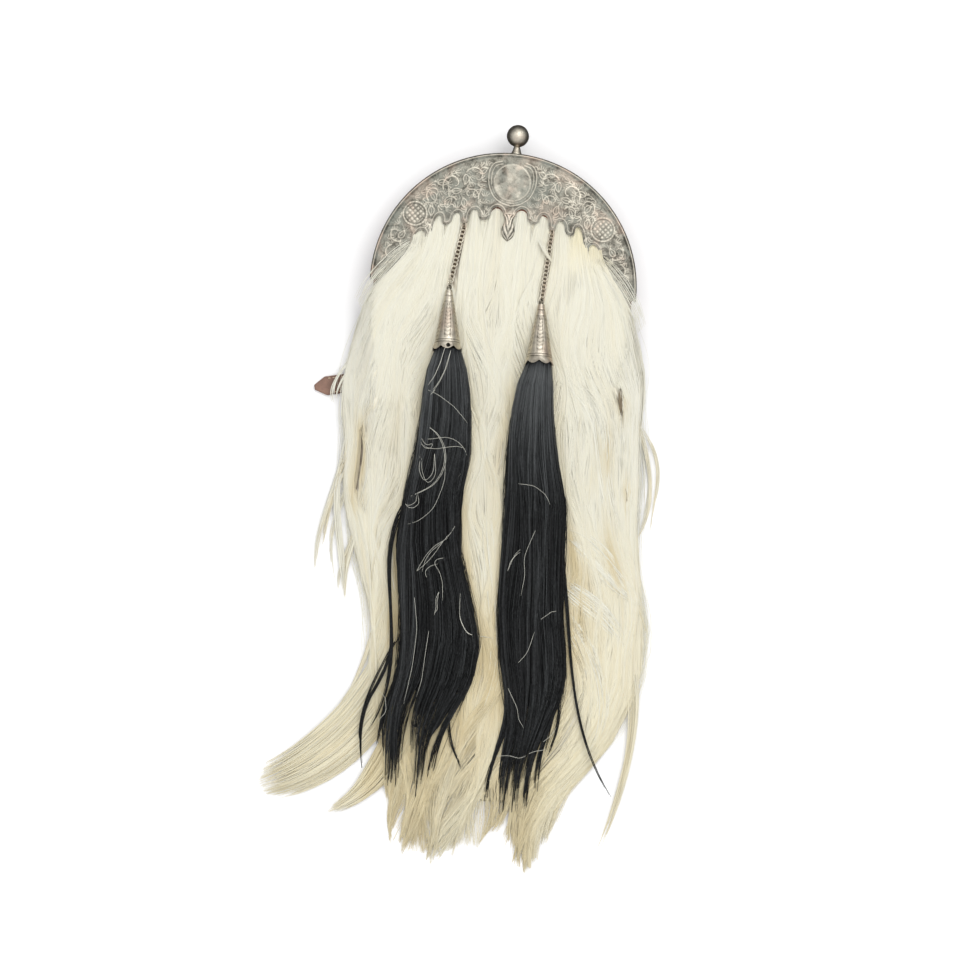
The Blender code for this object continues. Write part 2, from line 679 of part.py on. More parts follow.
def build_pouch():
    bm = bmesh.new()
    add_loft(bm, pouch_rings(0.0))
    pouch = add_object("pouch", finish_mesh("pouch", bm), POUCH_LEATHER)
    bm = bmesh.new()
    add_loft(bm, pouch_rings(LEATHER))
    boolean(pouch, add_object("pouch_inside", finish_mesh("pouch_inside", bm)), "DIFFERENCE")
    mouth = box_mesh(
        "mouth_cutter",
        (-MOUTH_HALF_WIDE, MOUTH_LOW_Y, MOUTH_BACK),
        (MOUTH_HALF_WIDE, MOUTH_TOP_Y, MOUTH_FRONT),
    )
    boolean(pouch, add_object("mouth_cutter", mouth), "DIFFERENCE")
    return pouch


def rounded_box(half_long, half_high, radius, steps=4):
    """The outline of a box with round corners, anticlockwise."""
    points = []
    for corner, (sx, sy) in enumerate(((1, 1), (-1, 1), (-1, -1), (1, -1))):
        for i in range(steps + 1):
            angle = math.pi / 2 * (corner + i / steps)
            points.append(
                (
                    sx * (half_long - radius) + radius * math.cos(angle),
                    sy * (half_high - radius) + radius * math.sin(angle),
                )
            )
    return points


def build_loop(name, x):
    """A closed leather band, flat against the pouch's back, that a waist strap passes through along X."""
    outer = rounded_box(LOOP_LONG / 2, LOOP_HEIGHT / 2, LOOP_OUTER_ROUND)
    inner = rounded_box(LOOP_LONG / 2 - LEATHER, LOOP_HEIGHT / 2 - LEATHER, LOOP_INNER_ROUND, 2)
    mesh = mesh_from_curve(name, flat_curve(name, [outer, inner], LOOP_WIDE))
    stand = Matrix.Rotation(math.radians(90), 4, "Z") @ Matrix.Rotation(math.radians(90), 4, "X")
    mesh.transform(stand)
    loop = add_object(name, mesh, POUCH_LEATHER)
    loop.location = (x * MM, LOOP_Y * MM, LOOP_HEIGHT / 2 * MM)
    return loop


def build_strap():
    bm = bmesh.new()
    along = Vector((math.cos(STRAP_TURN), math.sin(STRAP_TURN), 0.0))
    across = Vector((-along.y, along.x, 0.0))
    tip = Vector((*STRAP_TIP, 0.0))
    rings = []
    for step in STRAP_STEPS:
        middle = tip + along * step.along + Vector((0.0, 0.0, step.bottom))
        upright = Vector((0.0, 0.0, STRAP_THICK))
        left = middle - across * step.half_wide
        right = middle + across * step.half_wide
        rings.append([left, right, right + upright, left + upright])
    add_loft(bm, rings)
    return add_object("strap", finish_mesh("strap", bm), STRAP_LEATHER)


# --- White hair -----------------------------------------------------------------------------------


def hair_row(y):
    """The white hair's section at any y, between the rows of its table."""
    if y >= HAIR_ROWS[0].y:
        return HAIR_ROWS[0]
    for low, high in zip(HAIR_ROWS, HAIR_ROWS[1:]):
        if y >= high.y:
            part = (low.y - y) / (low.y - high.y)
            return HairRow(*(between(a, b, part) for a, b in zip(low, high)))
    last = HAIR_ROWS[-1]
    part = min((last.y - y) / HAIR_FOOT_LONG, 1.0)
    crown = between(last.crown, FOOT_THICK, part)
    return last._replace(y=y, crown=crown, brow=between(last.brow, FOOT_THICK, part))


def hair_top(y):
    return hair_row(y).crown


def hair_surface(x, y):
    """The height of the white hair's top at a place, ridges left out."""
    row = hair_row(y)
    if x < row.shoulder_left:
        return between(row.hem, row.brow, max((x - row.left) / (row.shoulder_left - row.left), 0.0))
    if x > row.shoulder_right:
        return between(row.hem, row.brow, max((row.right - x) / (row.right - row.shoulder_right), 0.0))
    part = (x - row.shoulder_left) / (row.shoulder_right - row.shoulder_left)
    return between(row.brow, row.crown, 1 - (2 * part - 1) ** 4)


def hair_ring(row):
    """One section across the white hair: ridged top from left to right, then the underside back."""
    steps = 2 * HAIR_RIDGES
    wave = HAIR_WAVE * math.sin(2 * math.pi * row.y / HAIR_WAVE_LONG)
    hem_bottom = hem_bottom_of(row)
    if row.y > LEG_END_Y:
        hem_bottom = row.bed
    elif row.y > LEG_END_Y - LEG_PAST:
        hem_bottom = OVER_LEG_LOW + FIT_GAP
    top = [Vector((row.left, row.y, row.hem))]
    under = [Vector((row.left + HEM_TAPER, row.y, hem_bottom))]
    for i in range(steps + 1):
        part = i / steps
        x = between(row.shoulder_left, row.shoulder_right, part)
        arch = 1 - (2 * part - 1) ** 4
        swing = wave if 0 < i < steps else 0.0
        dip = RIDGE_DEEP if i % 2 else 0.0
        top.append(Vector((x + swing, row.y, between(row.brow, row.crown, arch) - dip)))
        if i % 4 == 0:
            under.append(Vector((x, row.y, row.bed)))
    top.append(Vector((row.right, row.y, row.hem)))
    under.append(Vector((row.right - HEM_TAPER, row.y, hem_bottom)))
    return top + list(reversed(under))


def lock_rings(lock, height_of, sections):
    """Flattened rings along a lock. height_of gives the height of its middle."""
    rings = []
    for i in range(sections + 1):
        part = i / sections
        x = smooth_through((lock.x0, lock.x1, lock.x2, lock.x3), part)
        y = smooth_through((lock.y0, lock.y1, lock.y2, lock.y3), part)
        ahead_x = smooth_through((lock.x0, lock.x1, lock.x2, lock.x3), part + LOOK_AHEAD)
        ahead_y = smooth_through((lock.y0, lock.y1, lock.y2, lock.y3), part + LOOK_AHEAD)
        along = Vector((ahead_x - x, ahead_y - y, 0.0)).normalized()
        across = Vector((-along.y, along.x, 0.0))
        half_wide = smooth_through((lock.wide0, lock.wide1, lock.wide2, lock.wide3), part) / 2
        thick = between(lock.thick0, lock.thick3, part)
        middle = Vector((x, y, height_of(x, y, part, thick)))
        ring = []
        for k in range(LOCK_SIDES):
            angle = 2 * math.pi * k / LOCK_SIDES
            rise = Vector((0.0, 0.0, thick / 2 * math.sin(angle)))
            ring.append(middle + across * (half_wide * math.cos(angle)) + rise)
        rings.append(ring)
    return rings


def add_locks(body, name, locks, height_of, sections):
    """Fuses locks to a body in two lots, every other one at a time, so that no lot meets itself."""
    for lot in (0, 1):
        bm = bmesh.new()
        for lock in locks[lot::2]:
            add_loft(bm, lock_rings(lock, height_of, sections))
        label = f"{name}_{lot}"
        boolean(body, add_object(label, finish_mesh(label, bm)), "UNION", "MANIFOLD")


def tuft_height(x, y, part, thick):
    """Under the plate at its root, on the hair lower down, and over the cantle's legs at the sides."""
    beside = min(max((abs(x) - LEG_COVER_X) / LEG_COVER_WIDE, 0.0), 1.0)
    cover = beside if y > LEG_END_Y - LEG_COVER_PAST else 0.0
    rise = min(part / TUFT_RISE_PART, 1.0)
    settle = max(part - TUFT_SETTLE_PART, 0.0) / (1 - TUFT_SETTLE_PART)
    lift = between(TUFT_LIFT, -TUFT_LIFT, settle)
    top = between(TUFT_ROOT_TOP, between(hair_surface(x, y) + lift, OVER_LEG_TOP, cover), rise)
    return top - thick / 2


def hem_bottom_of(row):
    """The underside of the hems: off the strap beside the pouch, on the surface past it."""
    return HEM_BOTTOM_HIGH if row.y > STRAP_CLEAR_Y else 0.0


def foot_height(x, y, part, thick):
    """Inside the hem where a lock leaves it, and then down on the surface."""
    row = hair_row(y)
    lowest = thick / 2 + LOCK_LOWEST
    fall = min(part / LOCK_FALL_PART, 1.0)
    return max(lowest, between((row.hem + hem_bottom_of(row)) / 2, lowest, fall))


def build_hair(hangings):
    bm = bmesh.new()
    add_loft(bm, [hair_ring(row) for row in HAIR_ROWS])
    hair = add_object("hair_apron", finish_mesh("hair_apron", bm), WHITE_HAIR)
    add_locks(hair, "tufts", TUFTS, tuft_height, TUFT_SECTIONS)
    add_locks(hair, "foot_locks", FOOT_LOCKS, foot_height, LOCK_SECTIONS)
    let_out = drawn_in(cantle_outline(), -FIT_GAP)
    room = flat_plate("room_for_plate", let_out, PLATE_BACK - FIT_GAP, OVER_LEG_LOW)
    boolean(hair, add_object("room_for_plate", room), "DIFFERENCE", "MANIFOLD")
    low_y = LEG_END_Y - FIT_GAP
    inside = half_round(CANTLE_RADIUS - RIM_WALL - RIM_ROOM, low_y)
    wall = half_round(CANTLE_RADIUS + RIM_ROOM, low_y) + inside[::-1]
    room = flat_plate("room_for_rim", wall, RIM_BACK - FIT_GAP, OVER_LEG_LOW + LOCK_LOWEST)
    boolean(hair, add_object("room_for_rim", room), "DIFFERENCE", "MANIFOLD")
    for name, hanging in (("room_for_chain_left", hangings[0]), ("room_for_chain_right", hangings[1])):
        line = chain_line(hanging)
        above_eye = line[0] + Vector((0.0, CHAIN_ROOM_ABOVE, 0.0))
        trough = mesh_from_curve(name, wire_curve(name, [above_eye, *line], EYE_RADIUS + 2 * WIRE))
        boolean(hair, add_object(name, trough), "DIFFERENCE", "MANIFOLD")
    return hair


# --- Chains, cones and tassels --------------------------------------------------------------------


class Hanging:
    """Where one tassel's eye, chain, cone and head lie. The cone lies on the hair along its lower side."""

    def __init__(self, side):
        self.eye = Vector((side.eye_x, side.eye_y, PLATE_MIDDLE))
        apex_high = hair_top(side.apex_y) + CONE_TOP_RADIUS - APEX_SINK
        rim_high = hair_top(side.rim_y) + CONE_RIM_RADIUS - RIM_SINK
        self.apex = Vector((side.apex_x, side.apex_y, apex_high))
        self.along = (Vector((side.rim_x, side.rim_y, rim_high)) - self.apex).normalized()
        self.side = self.along.cross(Vector((0, 0, 1))).normalized()
        self.up = self.side.cross(self.along)
        self.cone_eye = self.apex - self.along * (EYE_RADIUS - CONE_EYE_SINK)
        self.links = side.links

    def circle(self, distance, radius, count, offsets=None):
        """A ring round the cone's axis at a distance from its apex."""
        points = []
        for k in range(count):
            angle = 2 * math.pi * k / count
            reach = distance + (offsets[k] if offsets else 0.0)
            outward = self.side * math.cos(angle) + self.up * math.sin(angle)
            points.append(self.apex + self.along * reach + outward * radius)
        return points


def build_cone(name, hanging):
    """A hollow cone from its apex down the outside, round the scalloped rim and back up the inside."""
    offsets = []
    for k in range(CONE_SIDES):
        notch = abs(math.cos(math.pi * k * CONE_LOBES / CONE_SIDES)) ** LOBE_ROUND
        offsets.append(-LOBE_DEEP * notch)
    band = CONE_LONG - CONE_BAND
    inside = CONE_TOP_RADIUS - CONE_WALL
    bm = bmesh.new()
    add_loft(
        bm,
        [
            hanging.circle(0.0, CONE_TOP_RADIUS, CONE_SIDES),
            hanging.circle(band, CONE_TOP_RADIUS + CONE_SLOPE * band, CONE_SIDES),
            hanging.circle(CONE_LONG, CONE_RIM_RADIUS, CONE_SIDES, offsets),
            hanging.circle(CONE_LONG, CONE_RIM_RADIUS - CONE_WALL, CONE_SIDES, offsets),
            hanging.circle(band, inside + CONE_SLOPE * band, CONE_SIDES),
            hanging.circle(CONE_INSIDE_TOP, inside + CONE_SLOPE * CONE_INSIDE_TOP, CONE_SIDES),
        ],
    )
    cone = add_object(name, finish_mesh(name, bm), BRIGHT_SILVER)
    bm = bmesh.new()
    tilt = Matrix.Rotation(math.radians(45), 3, hanging.along)
    axis = tilt @ hanging.up
    add_ring(bm, hanging.cone_eye, axis, hanging.along, EYE_RADIUS, WIRE, LINK_SIDES, WIRE_SIDES)
    boolean(cone, add_object(name + "_eye", finish_mesh(name + "_eye", bm)), "UNION")
    return cone


def chain_line(hanging):
    """The chain's line from the cantle's eye, over the hair, to the cone's eye."""
    start = hanging.eye
    end = hanging.cone_eye
    line = []
    for i in range(CHAIN_STEPS + 1):
        point = start.lerp(end, i / CHAIN_STEPS)
        if 0 < i < CHAIN_STEPS:
            point.z = max(point.z, hair_top(point.y) + REST_GAP + CHAIN_HALF_HIGH)
        line.append(point)
    return line


def point_on(line, distance):
    for low, high in zip(line, line[1:]):
        step = (high - low).length
        if distance <= step:
            break
        distance -= step
    return low.lerp(high, distance / step)


def build_chain(name, hanging):
    """Interlocked rings of wire, which lean to either side by turns and are fused where they bear."""
    line = chain_line(hanging)
    length = sum((high - low).length for low, high in zip(line, line[1:]))
    wire_flat = WIRE * math.cos(math.pi / WIRE_SIDES)
    ring_flat = math.cos(math.pi / LINK_SIDES)
    eye_hole = (EYE_RADIUS - wire_flat) * ring_flat
    play = eye_hole - WIRE - FIT_GAP - LEAN_ROOM
    # The end rings hang in the eyes, a gap clear of them: length = 2 (radius + play) + pitch (links - 1).
    spans = hanging.links - 1
    flat_rate = 2 * ring_flat
    radius = (length - 2 * play + spans * (flat_rate * wire_flat - LINK_OVERLAP)) / (2 + spans * flat_rate)
    pitch = flat_rate * (radius - wire_flat) + LINK_OVERLAP
    lots = [bmesh.new(), bmesh.new()]
    for i in range(hanging.links):
        distance = radius + play + pitch * i
        centre = point_on(line, distance)
        along = (point_on(line, distance + 1.0) - point_on(line, distance - 1.0)).normalized()
        side = along.cross(Vector((0, 0, 1))).normalized()
        up = side.cross(along)
        lean = math.radians(45 if i % 2 else -45)
        axis = up * math.cos(lean) + side * math.sin(lean)
        add_ring(lots[i % 2], centre, axis, along, radius, WIRE, LINK_SIDES, WIRE_SIDES)
    chain = add_object(name, finish_mesh(name, lots[0]), CHAIN_SILVER)
    helper = name + "_between"
    boolean(chain, add_object(helper, finish_mesh(helper, lots[1])), "UNION")
    return chain


def build_tassel(name, hanging, rows, tips):
    """A head that fills the cone, sections down the hair, and locks that leave it at its side and foot."""
    inner = CONE_TOP_RADIUS - CONE_WALL - HEAD_ROOM
    bm = bmesh.new()
    rings = [
        hanging.circle(distance, (inner + CONE_SLOPE * distance) * HEAD_SQUEEZE, TASSEL_SIDES)
        for distance in (HEAD_TOP, CONE_LONG + HEAD_PAST_RIM)
    ]
    for row in rows:
        middle = Vector(((row.left + row.right) / 2, row.y, hair_top(row.y) + REST_GAP + row.thick / 2))
        half_wide = (row.right - row.left) / 2
        ring = []
        for k in range(TASSEL_SIDES):
            angle = 2 * math.pi * k / TASSEL_SIDES
            flat = TASSEL_FLAT_BACK if math.sin(angle) < 0 else 1.0
            ring.append(
                middle + Vector((-half_wide * math.cos(angle), 0.0, row.thick / 2 * math.sin(angle) * flat))
            )
        rings.append(ring)
    step_on = Vector((0.0, -TASSEL_END_STEP, 0.0))
    heart = rings[-1][0].lerp(rings[-1][TASSEL_SIDES // 2], 0.5)
    rings.append([point.lerp(heart, TASSEL_END_SHRINK) + step_on for point in rings[-1]])
    add_loft(bm, rings)
    tassel = add_object(name, finish_mesh(name, bm), BLACK_HAIR)

    def height(x, y, part, thick):
        return hair_top(y) + REST_GAP + TIP_LIFT + thick / 2

    add_locks(tassel, name + "_tips", tips, height, LOCK_SECTIONS)
    return tassel


def centre_on_box():
    """Hangs every piece on one empty and moves it so that the box's bottom centre is the origin."""
    bpy.context.view_layer.update()
    graph = bpy.context.evaluated_depsgraph_get()
    low = Vector((math.inf,) * 3)
    high = Vector((-math.inf,) * 3)
    for obj in SPORRAN.objects:
        evaluated = obj.evaluated_get(graph)
        for corner in evaluated.data.vertices:
            place = evaluated.matrix_world @ corner.co
            low = Vector(map(min, low, place))
            high = Vector(map(max, high, place))
    holder = bpy.data.objects.new("sporran_origin", None)
    SPORRAN.objects.link(holder)
    holder.location = (-(low.x + high.x) / 2, -(low.y + high.y) / 2, -low.z)
    for group in (SPORRAN, HELPERS):
        for obj in group.objects:
            if obj is not holder:
                obj.parent = holder


HANGINGS = [Hanging(LEFT), Hanging(RIGHT)]

build_cantle()
build_finial()
build_pouch()
build_loop("belt_loop_left", -LOOP_X)
build_loop("belt_loop_right", LOOP_X)
build_strap()
build_hair(HANGINGS)
for label, place, tassel_rows, tassel_tips in (
    ("left", HANGINGS[0], TASSEL_LEFT_ROWS, TASSEL_LEFT_TIPS),
    ("right", HANGINGS[1], TASSEL_RIGHT_ROWS, TASSEL_RIGHT_TIPS),
):
    build_chain("chain_" + label, place)
    build_cone("cone_" + label, place)
    build_tassel("tassel_" + label, place, tassel_rows, tassel_tips)
centre_on_box()
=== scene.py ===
"""The finish of the dress sporran: engraved silver, leather, white horsehair and black hair tassels.

Sizes are in millimetres round the centre of the cantle's rim, and each mesh is put in the frame when it
becomes a piece. Z is up off the surface that the sporran lies on, and +Y runs towards the ball.
"""

import math
from collections import namedtuple

import bmesh
import bpy
import numpy as np
from mathutils import Matrix, Vector
from mathutils.bvhtree import BVHTree
from mathutils.kdtree import KDTree


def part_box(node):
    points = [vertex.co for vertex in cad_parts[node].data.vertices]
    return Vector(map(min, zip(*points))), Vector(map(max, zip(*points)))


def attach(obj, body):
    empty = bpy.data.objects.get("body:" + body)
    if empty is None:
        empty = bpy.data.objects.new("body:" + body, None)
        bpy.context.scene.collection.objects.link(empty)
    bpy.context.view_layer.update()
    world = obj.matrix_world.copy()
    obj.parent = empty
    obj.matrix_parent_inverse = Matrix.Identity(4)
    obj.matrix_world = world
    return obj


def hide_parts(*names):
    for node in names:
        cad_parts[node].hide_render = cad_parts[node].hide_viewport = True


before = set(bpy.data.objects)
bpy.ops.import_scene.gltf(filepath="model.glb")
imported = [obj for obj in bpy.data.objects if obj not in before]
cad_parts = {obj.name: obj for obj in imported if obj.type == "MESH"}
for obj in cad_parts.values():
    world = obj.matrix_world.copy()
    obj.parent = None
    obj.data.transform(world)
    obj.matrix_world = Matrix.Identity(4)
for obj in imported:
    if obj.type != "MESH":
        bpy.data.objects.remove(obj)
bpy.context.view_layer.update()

MM = 0.001
LEG_END_Y = -2.5
cantle_low, cantle_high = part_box("cantle")
# The centre of the cantle's rim in the frame. The legs end a little below it.
MIDDLE = Vector(((cantle_low.x + cantle_high.x) / 2, cantle_low.y - LEG_END_Y * MM, 0.0))
TO_FRAME = Matrix.Translation(MIDDLE) @ Matrix.Scale(MM, 4)


# --- Tools ------------------------------------------------------------------------------------------------


class Socket:
    """An output of a shader node that can stand in arithmetic."""

    def __init__(self, nodes, out):
        self.nodes = nodes
        self.out = out

    def maths(self, operation, left, right):
        return self.nodes.add("Math", {"operation": operation}, {0: left, 1: right})

    def __add__(self, other):
        return self.maths("ADD", self, other)

    def __radd__(self, other):
        return self.maths("ADD", other, self)

    def __sub__(self, other):
        return self.maths("SUBTRACT", self, other)

    def __rsub__(self, other):
        return self.maths("SUBTRACT", other, self)

    def __mul__(self, other):
        return self.maths("MULTIPLY", self, other)

    def __rmul__(self, other):
        return self.maths("MULTIPLY", other, self)

    def clear_of(self, low, high, start=0.0, end=1.0):
        """start below low, end above high and smooth between."""
        settings = {"interpolation_type": "SMOOTHSTEP"}
        inputs = {"Value": self, "From Min": low, "From Max": high, "To Min": start, "To Max": end}
        return self.nodes.add("MapRange", settings, inputs)


class Nodes:
    """A node tree, with one way to add a node to it."""

    def __init__(self, tree):
        self.tree = tree

    def add(self, kind, settings, inputs, output=0):
        node = self.tree.nodes.new("ShaderNode" + kind)
        for name, value in settings.items():
            setattr(node, name, value)
        for name, value in inputs.items():
            if isinstance(value, Socket):
                self.tree.links.new(value.out, node.inputs[name])
            else:
                node.inputs[name].default_value = value
        return Socket(self, node.outputs[output])


class Finish(Nodes):
    """One procedural material."""

    def __init__(self, name, **constants):
        self.material = bpy.data.materials.new(name)
        self.material.use_nodes = True
        super().__init__(self.material.node_tree)
        self.shader = self.tree.nodes["Principled BSDF"]
        for socket, value in constants.items():
            self.shader.inputs[socket.replace("_", " ")].default_value = value

    def place(self):
        return self.add("TexCoord", {}, {}, "Object")

    def attribute(self, name):
        return self.add("Attribute", {"attribute_name": name}, {}, "Fac")

    def noise(self, scale, detail=3.0, where=None, roughness=0.55, distortion=0.0):
        inputs = {
            "Vector": where or self.place(),
            "Scale": scale,
            "Detail": detail,
            "Roughness": roughness,
            "Distortion": distortion,
        }
        return self.add("TexNoise", {}, inputs)

    def mixed(self, share, low, high):
        return self.add("Mix", {"data_type": "RGBA"}, {0: share, 6: low, 7: high}, 2)

    def colour(self, value):
        self.tree.links.new(value.out, self.shader.inputs["Base Color"])

    def rough(self, value):
        self.tree.links.new(value.out, self.shader.inputs["Roughness"])

    def bump(self, height, strength, depth):
        inputs = {"Height": height, "Strength": strength, "Distance": depth * MM}
        normal = self.add("Bump", {}, inputs)
        self.tree.links.new(normal.out, self.shader.inputs["Normal"])


def tint(red, green, blue):
    """A colour for a node, opaque."""
    return (red, green, blue, 1.0)


def linked(name, data):
    """A new object in the scene."""
    made = bpy.data.objects.new(name, data)
    bpy.context.scene.collection.objects.link(made)
    return made


def applied(obj):
    """The object's mesh with its modifiers applied. The object itself goes."""
    mesh = bpy.data.meshes.new_from_object(obj.evaluated_get(bpy.context.evaluated_depsgraph_get()))
    bpy.data.objects.remove(obj)
    return mesh


def add_piece(name, mesh, finish, slot, *nodes, crisp=None):
    """A piece of the sporran from a mesh in millimetres. It stands for the nodes that are named.

    crisp is the angle in degrees above which an edge shows as an edge.
    """
    mesh.transform(TO_FRAME)
    mesh.materials.clear()
    mesh.materials.append(finish.material)
    mesh.shade_smooth()
    if crisp:
        mesh.set_sharp_from_angle(angle=math.radians(crisp))
    piece = linked(name, mesh)
    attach(piece, "root")
    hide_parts(*nodes)


def mesh_of(bm, name):
    """The mesh of a closed shape, with its faces outward."""
    bmesh.ops.recalc_face_normals(bm, faces=bm.faces)
    if bm.calc_volume(signed=True) < 0:
        bmesh.ops.reverse_faces(bm, faces=bm.faces)
    mesh = bpy.data.meshes.new(name)
    bm.to_mesh(mesh)
    bm.free()
    return mesh


def joined(*axes):
    """Places from their axes, each an array or one number for all of them."""
    return np.stack(np.broadcast_arrays(*axes), axis=-1)


def axes_of(vertices):
    """The x, y and z of vertices."""
    return np.array([vert.co for vert in vertices]).T


def set_places(mesh, places):
    mesh.vertices.foreach_set("co", places.astype(np.float32).ravel())


def write_attributes(mesh, values):
    for name, value in values.items():
        layer = mesh.attributes.new(name, "FLOAT", "POINT")
        layer.data.foreach_set("value", np.ascontiguousarray(value, np.float32).ravel())


def set_relief(mesh, relief):
    """How far each place stands out, which is the same all over where it is one number."""
    write_attributes(mesh, {"relief": np.broadcast_to(relief, len(mesh.vertices))})


def woven(name, points, around=False, ends=False, **values):
    """A mesh from a grid, whose rows and columns take their places from an array.

    around closes the last column on the first, and ends fills the first and the last row.
    """
    values = {key: np.broadcast_to(value, points.shape[:2]) for key, value in values.items()}
    if around:
        points = np.concatenate([points, points[:, :1]], axis=1)
        values = {key: np.concatenate([value, value[:, :1]], axis=1) for key, value in values.items()}
    rows, columns = points.shape[:2]
    bm = bmesh.new()
    bmesh.ops.create_grid(bm, x_segments=columns - 1, y_segments=rows - 1, size=1.0)
    x, y, _ = axes_of(bm.verts)
    column = np.rint((x + 1) / 2 * (columns - 1)).astype(int)
    row = np.rint((y + 1) / 2 * (rows - 1)).astype(int)
    mesh = bpy.data.meshes.new(name)
    bm.to_mesh(mesh)
    set_places(mesh, points[row, column])
    write_attributes(mesh, {key: value[row, column] for key, value in values.items()})
    bm.clear()
    bm.from_mesh(mesh)
    bpy.data.meshes.remove(mesh)
    bmesh.ops.remove_doubles(bm, verts=bm.verts, dist=1e-4)
    if ends:
        close_holes(bm)
    return mesh_of(bm, name)


def close_holes(bm):
    """Fills each opening with one face."""
    bmesh.ops.holes_fill(bm, edges=[edge for edge in bm.edges if edge.is_boundary], sides=0)


def profile_line(bm, profile, closed=False):
    """A line of vertices at (radius, height) and the edges between them."""
    line = [bmesh.ops.create_vert(bm, co=(radius, 0.0, height))["vert"][0] for radius, height in profile]
    ahead = line[1:] + line[:1] if closed else line[1:]
    return line, [bm.edges.new(pair) for pair in zip(line, ahead)]


def spin(bm, geometry, steps, angle=None):
    """Spins geometry round +Z, through a full turn where no angle is given."""
    bmesh.ops.spin(
        bm,
        geom=geometry,
        cent=(0, 0, 0),
        axis=(0, 0, 1),
        angle=angle or 2 * math.pi,
        steps=steps,
        use_merge=angle is None,
    )


def cut(name, mesh, cutter):
    """The mesh of one shape with another taken out of it."""
    body = linked(name, mesh)
    tool = linked(name + "_tool", cutter)
    change = body.modifiers.new("cut", "BOOLEAN")
    change.operation = "DIFFERENCE"
    change.object = tool
    made = applied(body)
    bpy.data.objects.remove(tool)
    return made


def copies(name, bm, count):
    """One mesh that holds a small shape many times over."""
    single = linked(name, mesh_of(bm, name))
    row = single.modifiers.new("row", "ARRAY")
    row.count = count
    row.use_relative_offset = False
    return applied(single)


def unit(arrows):
    """Arrows made one long."""
    return arrows / (np.linalg.norm(arrows, axis=-1, keepdims=True) + 1e-9)


def hairs(name, paths, thick, flat=1.0, **values):
    """Three-sided hairs, closed at both ends, along an array of paths.

    thick is each ring's radius, and flat is how high a hair is for its width.
    """
    count, rings = paths.shape[:2]
    bm = bmesh.new()
    bmesh.ops.create_circle(bm, cap_ends=True, segments=3, radius=1.0)
    face = bm.faces[:]
    for i in range(rings - 1):
        made = bmesh.ops.extrude_face_region(bm, geom=face, use_keep_orig=(i == 0))["geom"]
        if i > 0:
            bmesh.ops.delete(bm, geom=[old for old in face if old.is_valid], context="FACES_ONLY")
        face = [part for part in made if isinstance(part, bmesh.types.BMFace)]
        corners = [part for part in made if isinstance(part, bmesh.types.BMVert)]
        bmesh.ops.translate(bm, vec=(0.0, 0.0, 1.0), verts=corners)
    x, y, z = axes_of(bm.verts)
    ring = np.rint(z).astype(int)
    mesh = copies(name, bm, count)
    ahead = unit(np.gradient(paths, axis=1))
    side = unit(np.cross((0.0, 0.0, 1.0), ahead))
    up = np.cross(ahead, side)
    across = x * thick[:, ring]
    raised = y * thick[:, ring] * flat
    set_places(mesh, paths[:, ring] + side[:, ring] * across[..., None] + up[:, ring] * raised[..., None])
    full = {key: np.broadcast_to(value, (count, rings)) for key, value in values.items()}
    write_attributes(mesh, {key: value[:, ring] for key, value in full.items()})
    return mesh


def smooth_step(value, low, high):
    """0 below low, 1 above high and smooth between."""
    part = np.clip((value - low) / (high - low), 0.0, 1.0)
    return part * part * (3 - 2 * part)


def middles(rng, count, low, high):
    """The middles of clumps that stand side by side from 0 to 1, each a little off its own."""
    return (np.arange(count) + rng.uniform(low, high, count)) / count


def drift(rng, count, low, high):
    """A smooth line through evenly spaced random values, as a function of 0 to 1."""
    values = rng.uniform(low, high, count)

    def at(share):
        place = np.clip(share, 0.0, 1.0) * (count - 1)
        first = np.minimum(place.astype(int), count - 2)
        part = smooth_step(place - first, 0.0, 1.0)
        return values[first] * (1 - part) + values[first + 1] * part

    return at


def smooth_through(points, part):
    """The smooth curve that goes through four points at 0, 1/3, 2/3 and 1."""
    p0, p1, p2, p3 = points
    third = part * 3
    return (
        -p0 * (third - 1) * (third - 2) * (third - 3) / 6
        + p1 * third * (third - 2) * (third - 3) / 2
        - p2 * third * (third - 1) * (third - 3) / 2
        + p3 * third * (third - 1) * (third - 2) / 6
    )


def softened(values, rounds):
    """Values smoothed along their first axis, with the first and the last kept."""
    values = values.copy()
    for _ in range(rounds):
        values[1:-1] = (values[:-2] + 2 * values[1:-1] + values[2:]) / 4
    return values


def evenly(line, count):
    """A line of points drawn again at even steps."""
    steps = np.linalg.norm(np.diff(line, axis=0), axis=1)
    reached = np.concatenate([[0.0], np.cumsum(steps)])
    places = np.linspace(0.0, reached[-1], count)
    return np.stack([np.interp(places, reached, line[:, i]) for i in range(line.shape[1])], axis=1)


class Chart:
    """Values over an even grid of places, read between them as well."""

    def __init__(self, x0, y0, step, grid):
        self.x0 = x0
        self.y0 = y0
        self.step = step
        self.grid = grid

    def __call__(self, x, y):
        rows, columns = self.grid.shape
        u = np.clip((x - self.x0) / self.step[0], 0, columns - 1.001)
        v = np.clip((y - self.y0) / self.step[1], 0, rows - 1.001)
        i = u.astype(int)
        j = v.astype(int)
        a = u - i
        b = v - j
        low = self.grid[j, i] * (1 - a) + self.grid[j, i + 1] * a
        high = self.grid[j + 1, i] * (1 - a) + self.grid[j + 1, i + 1] * a
        return low * (1 - b) + high * b


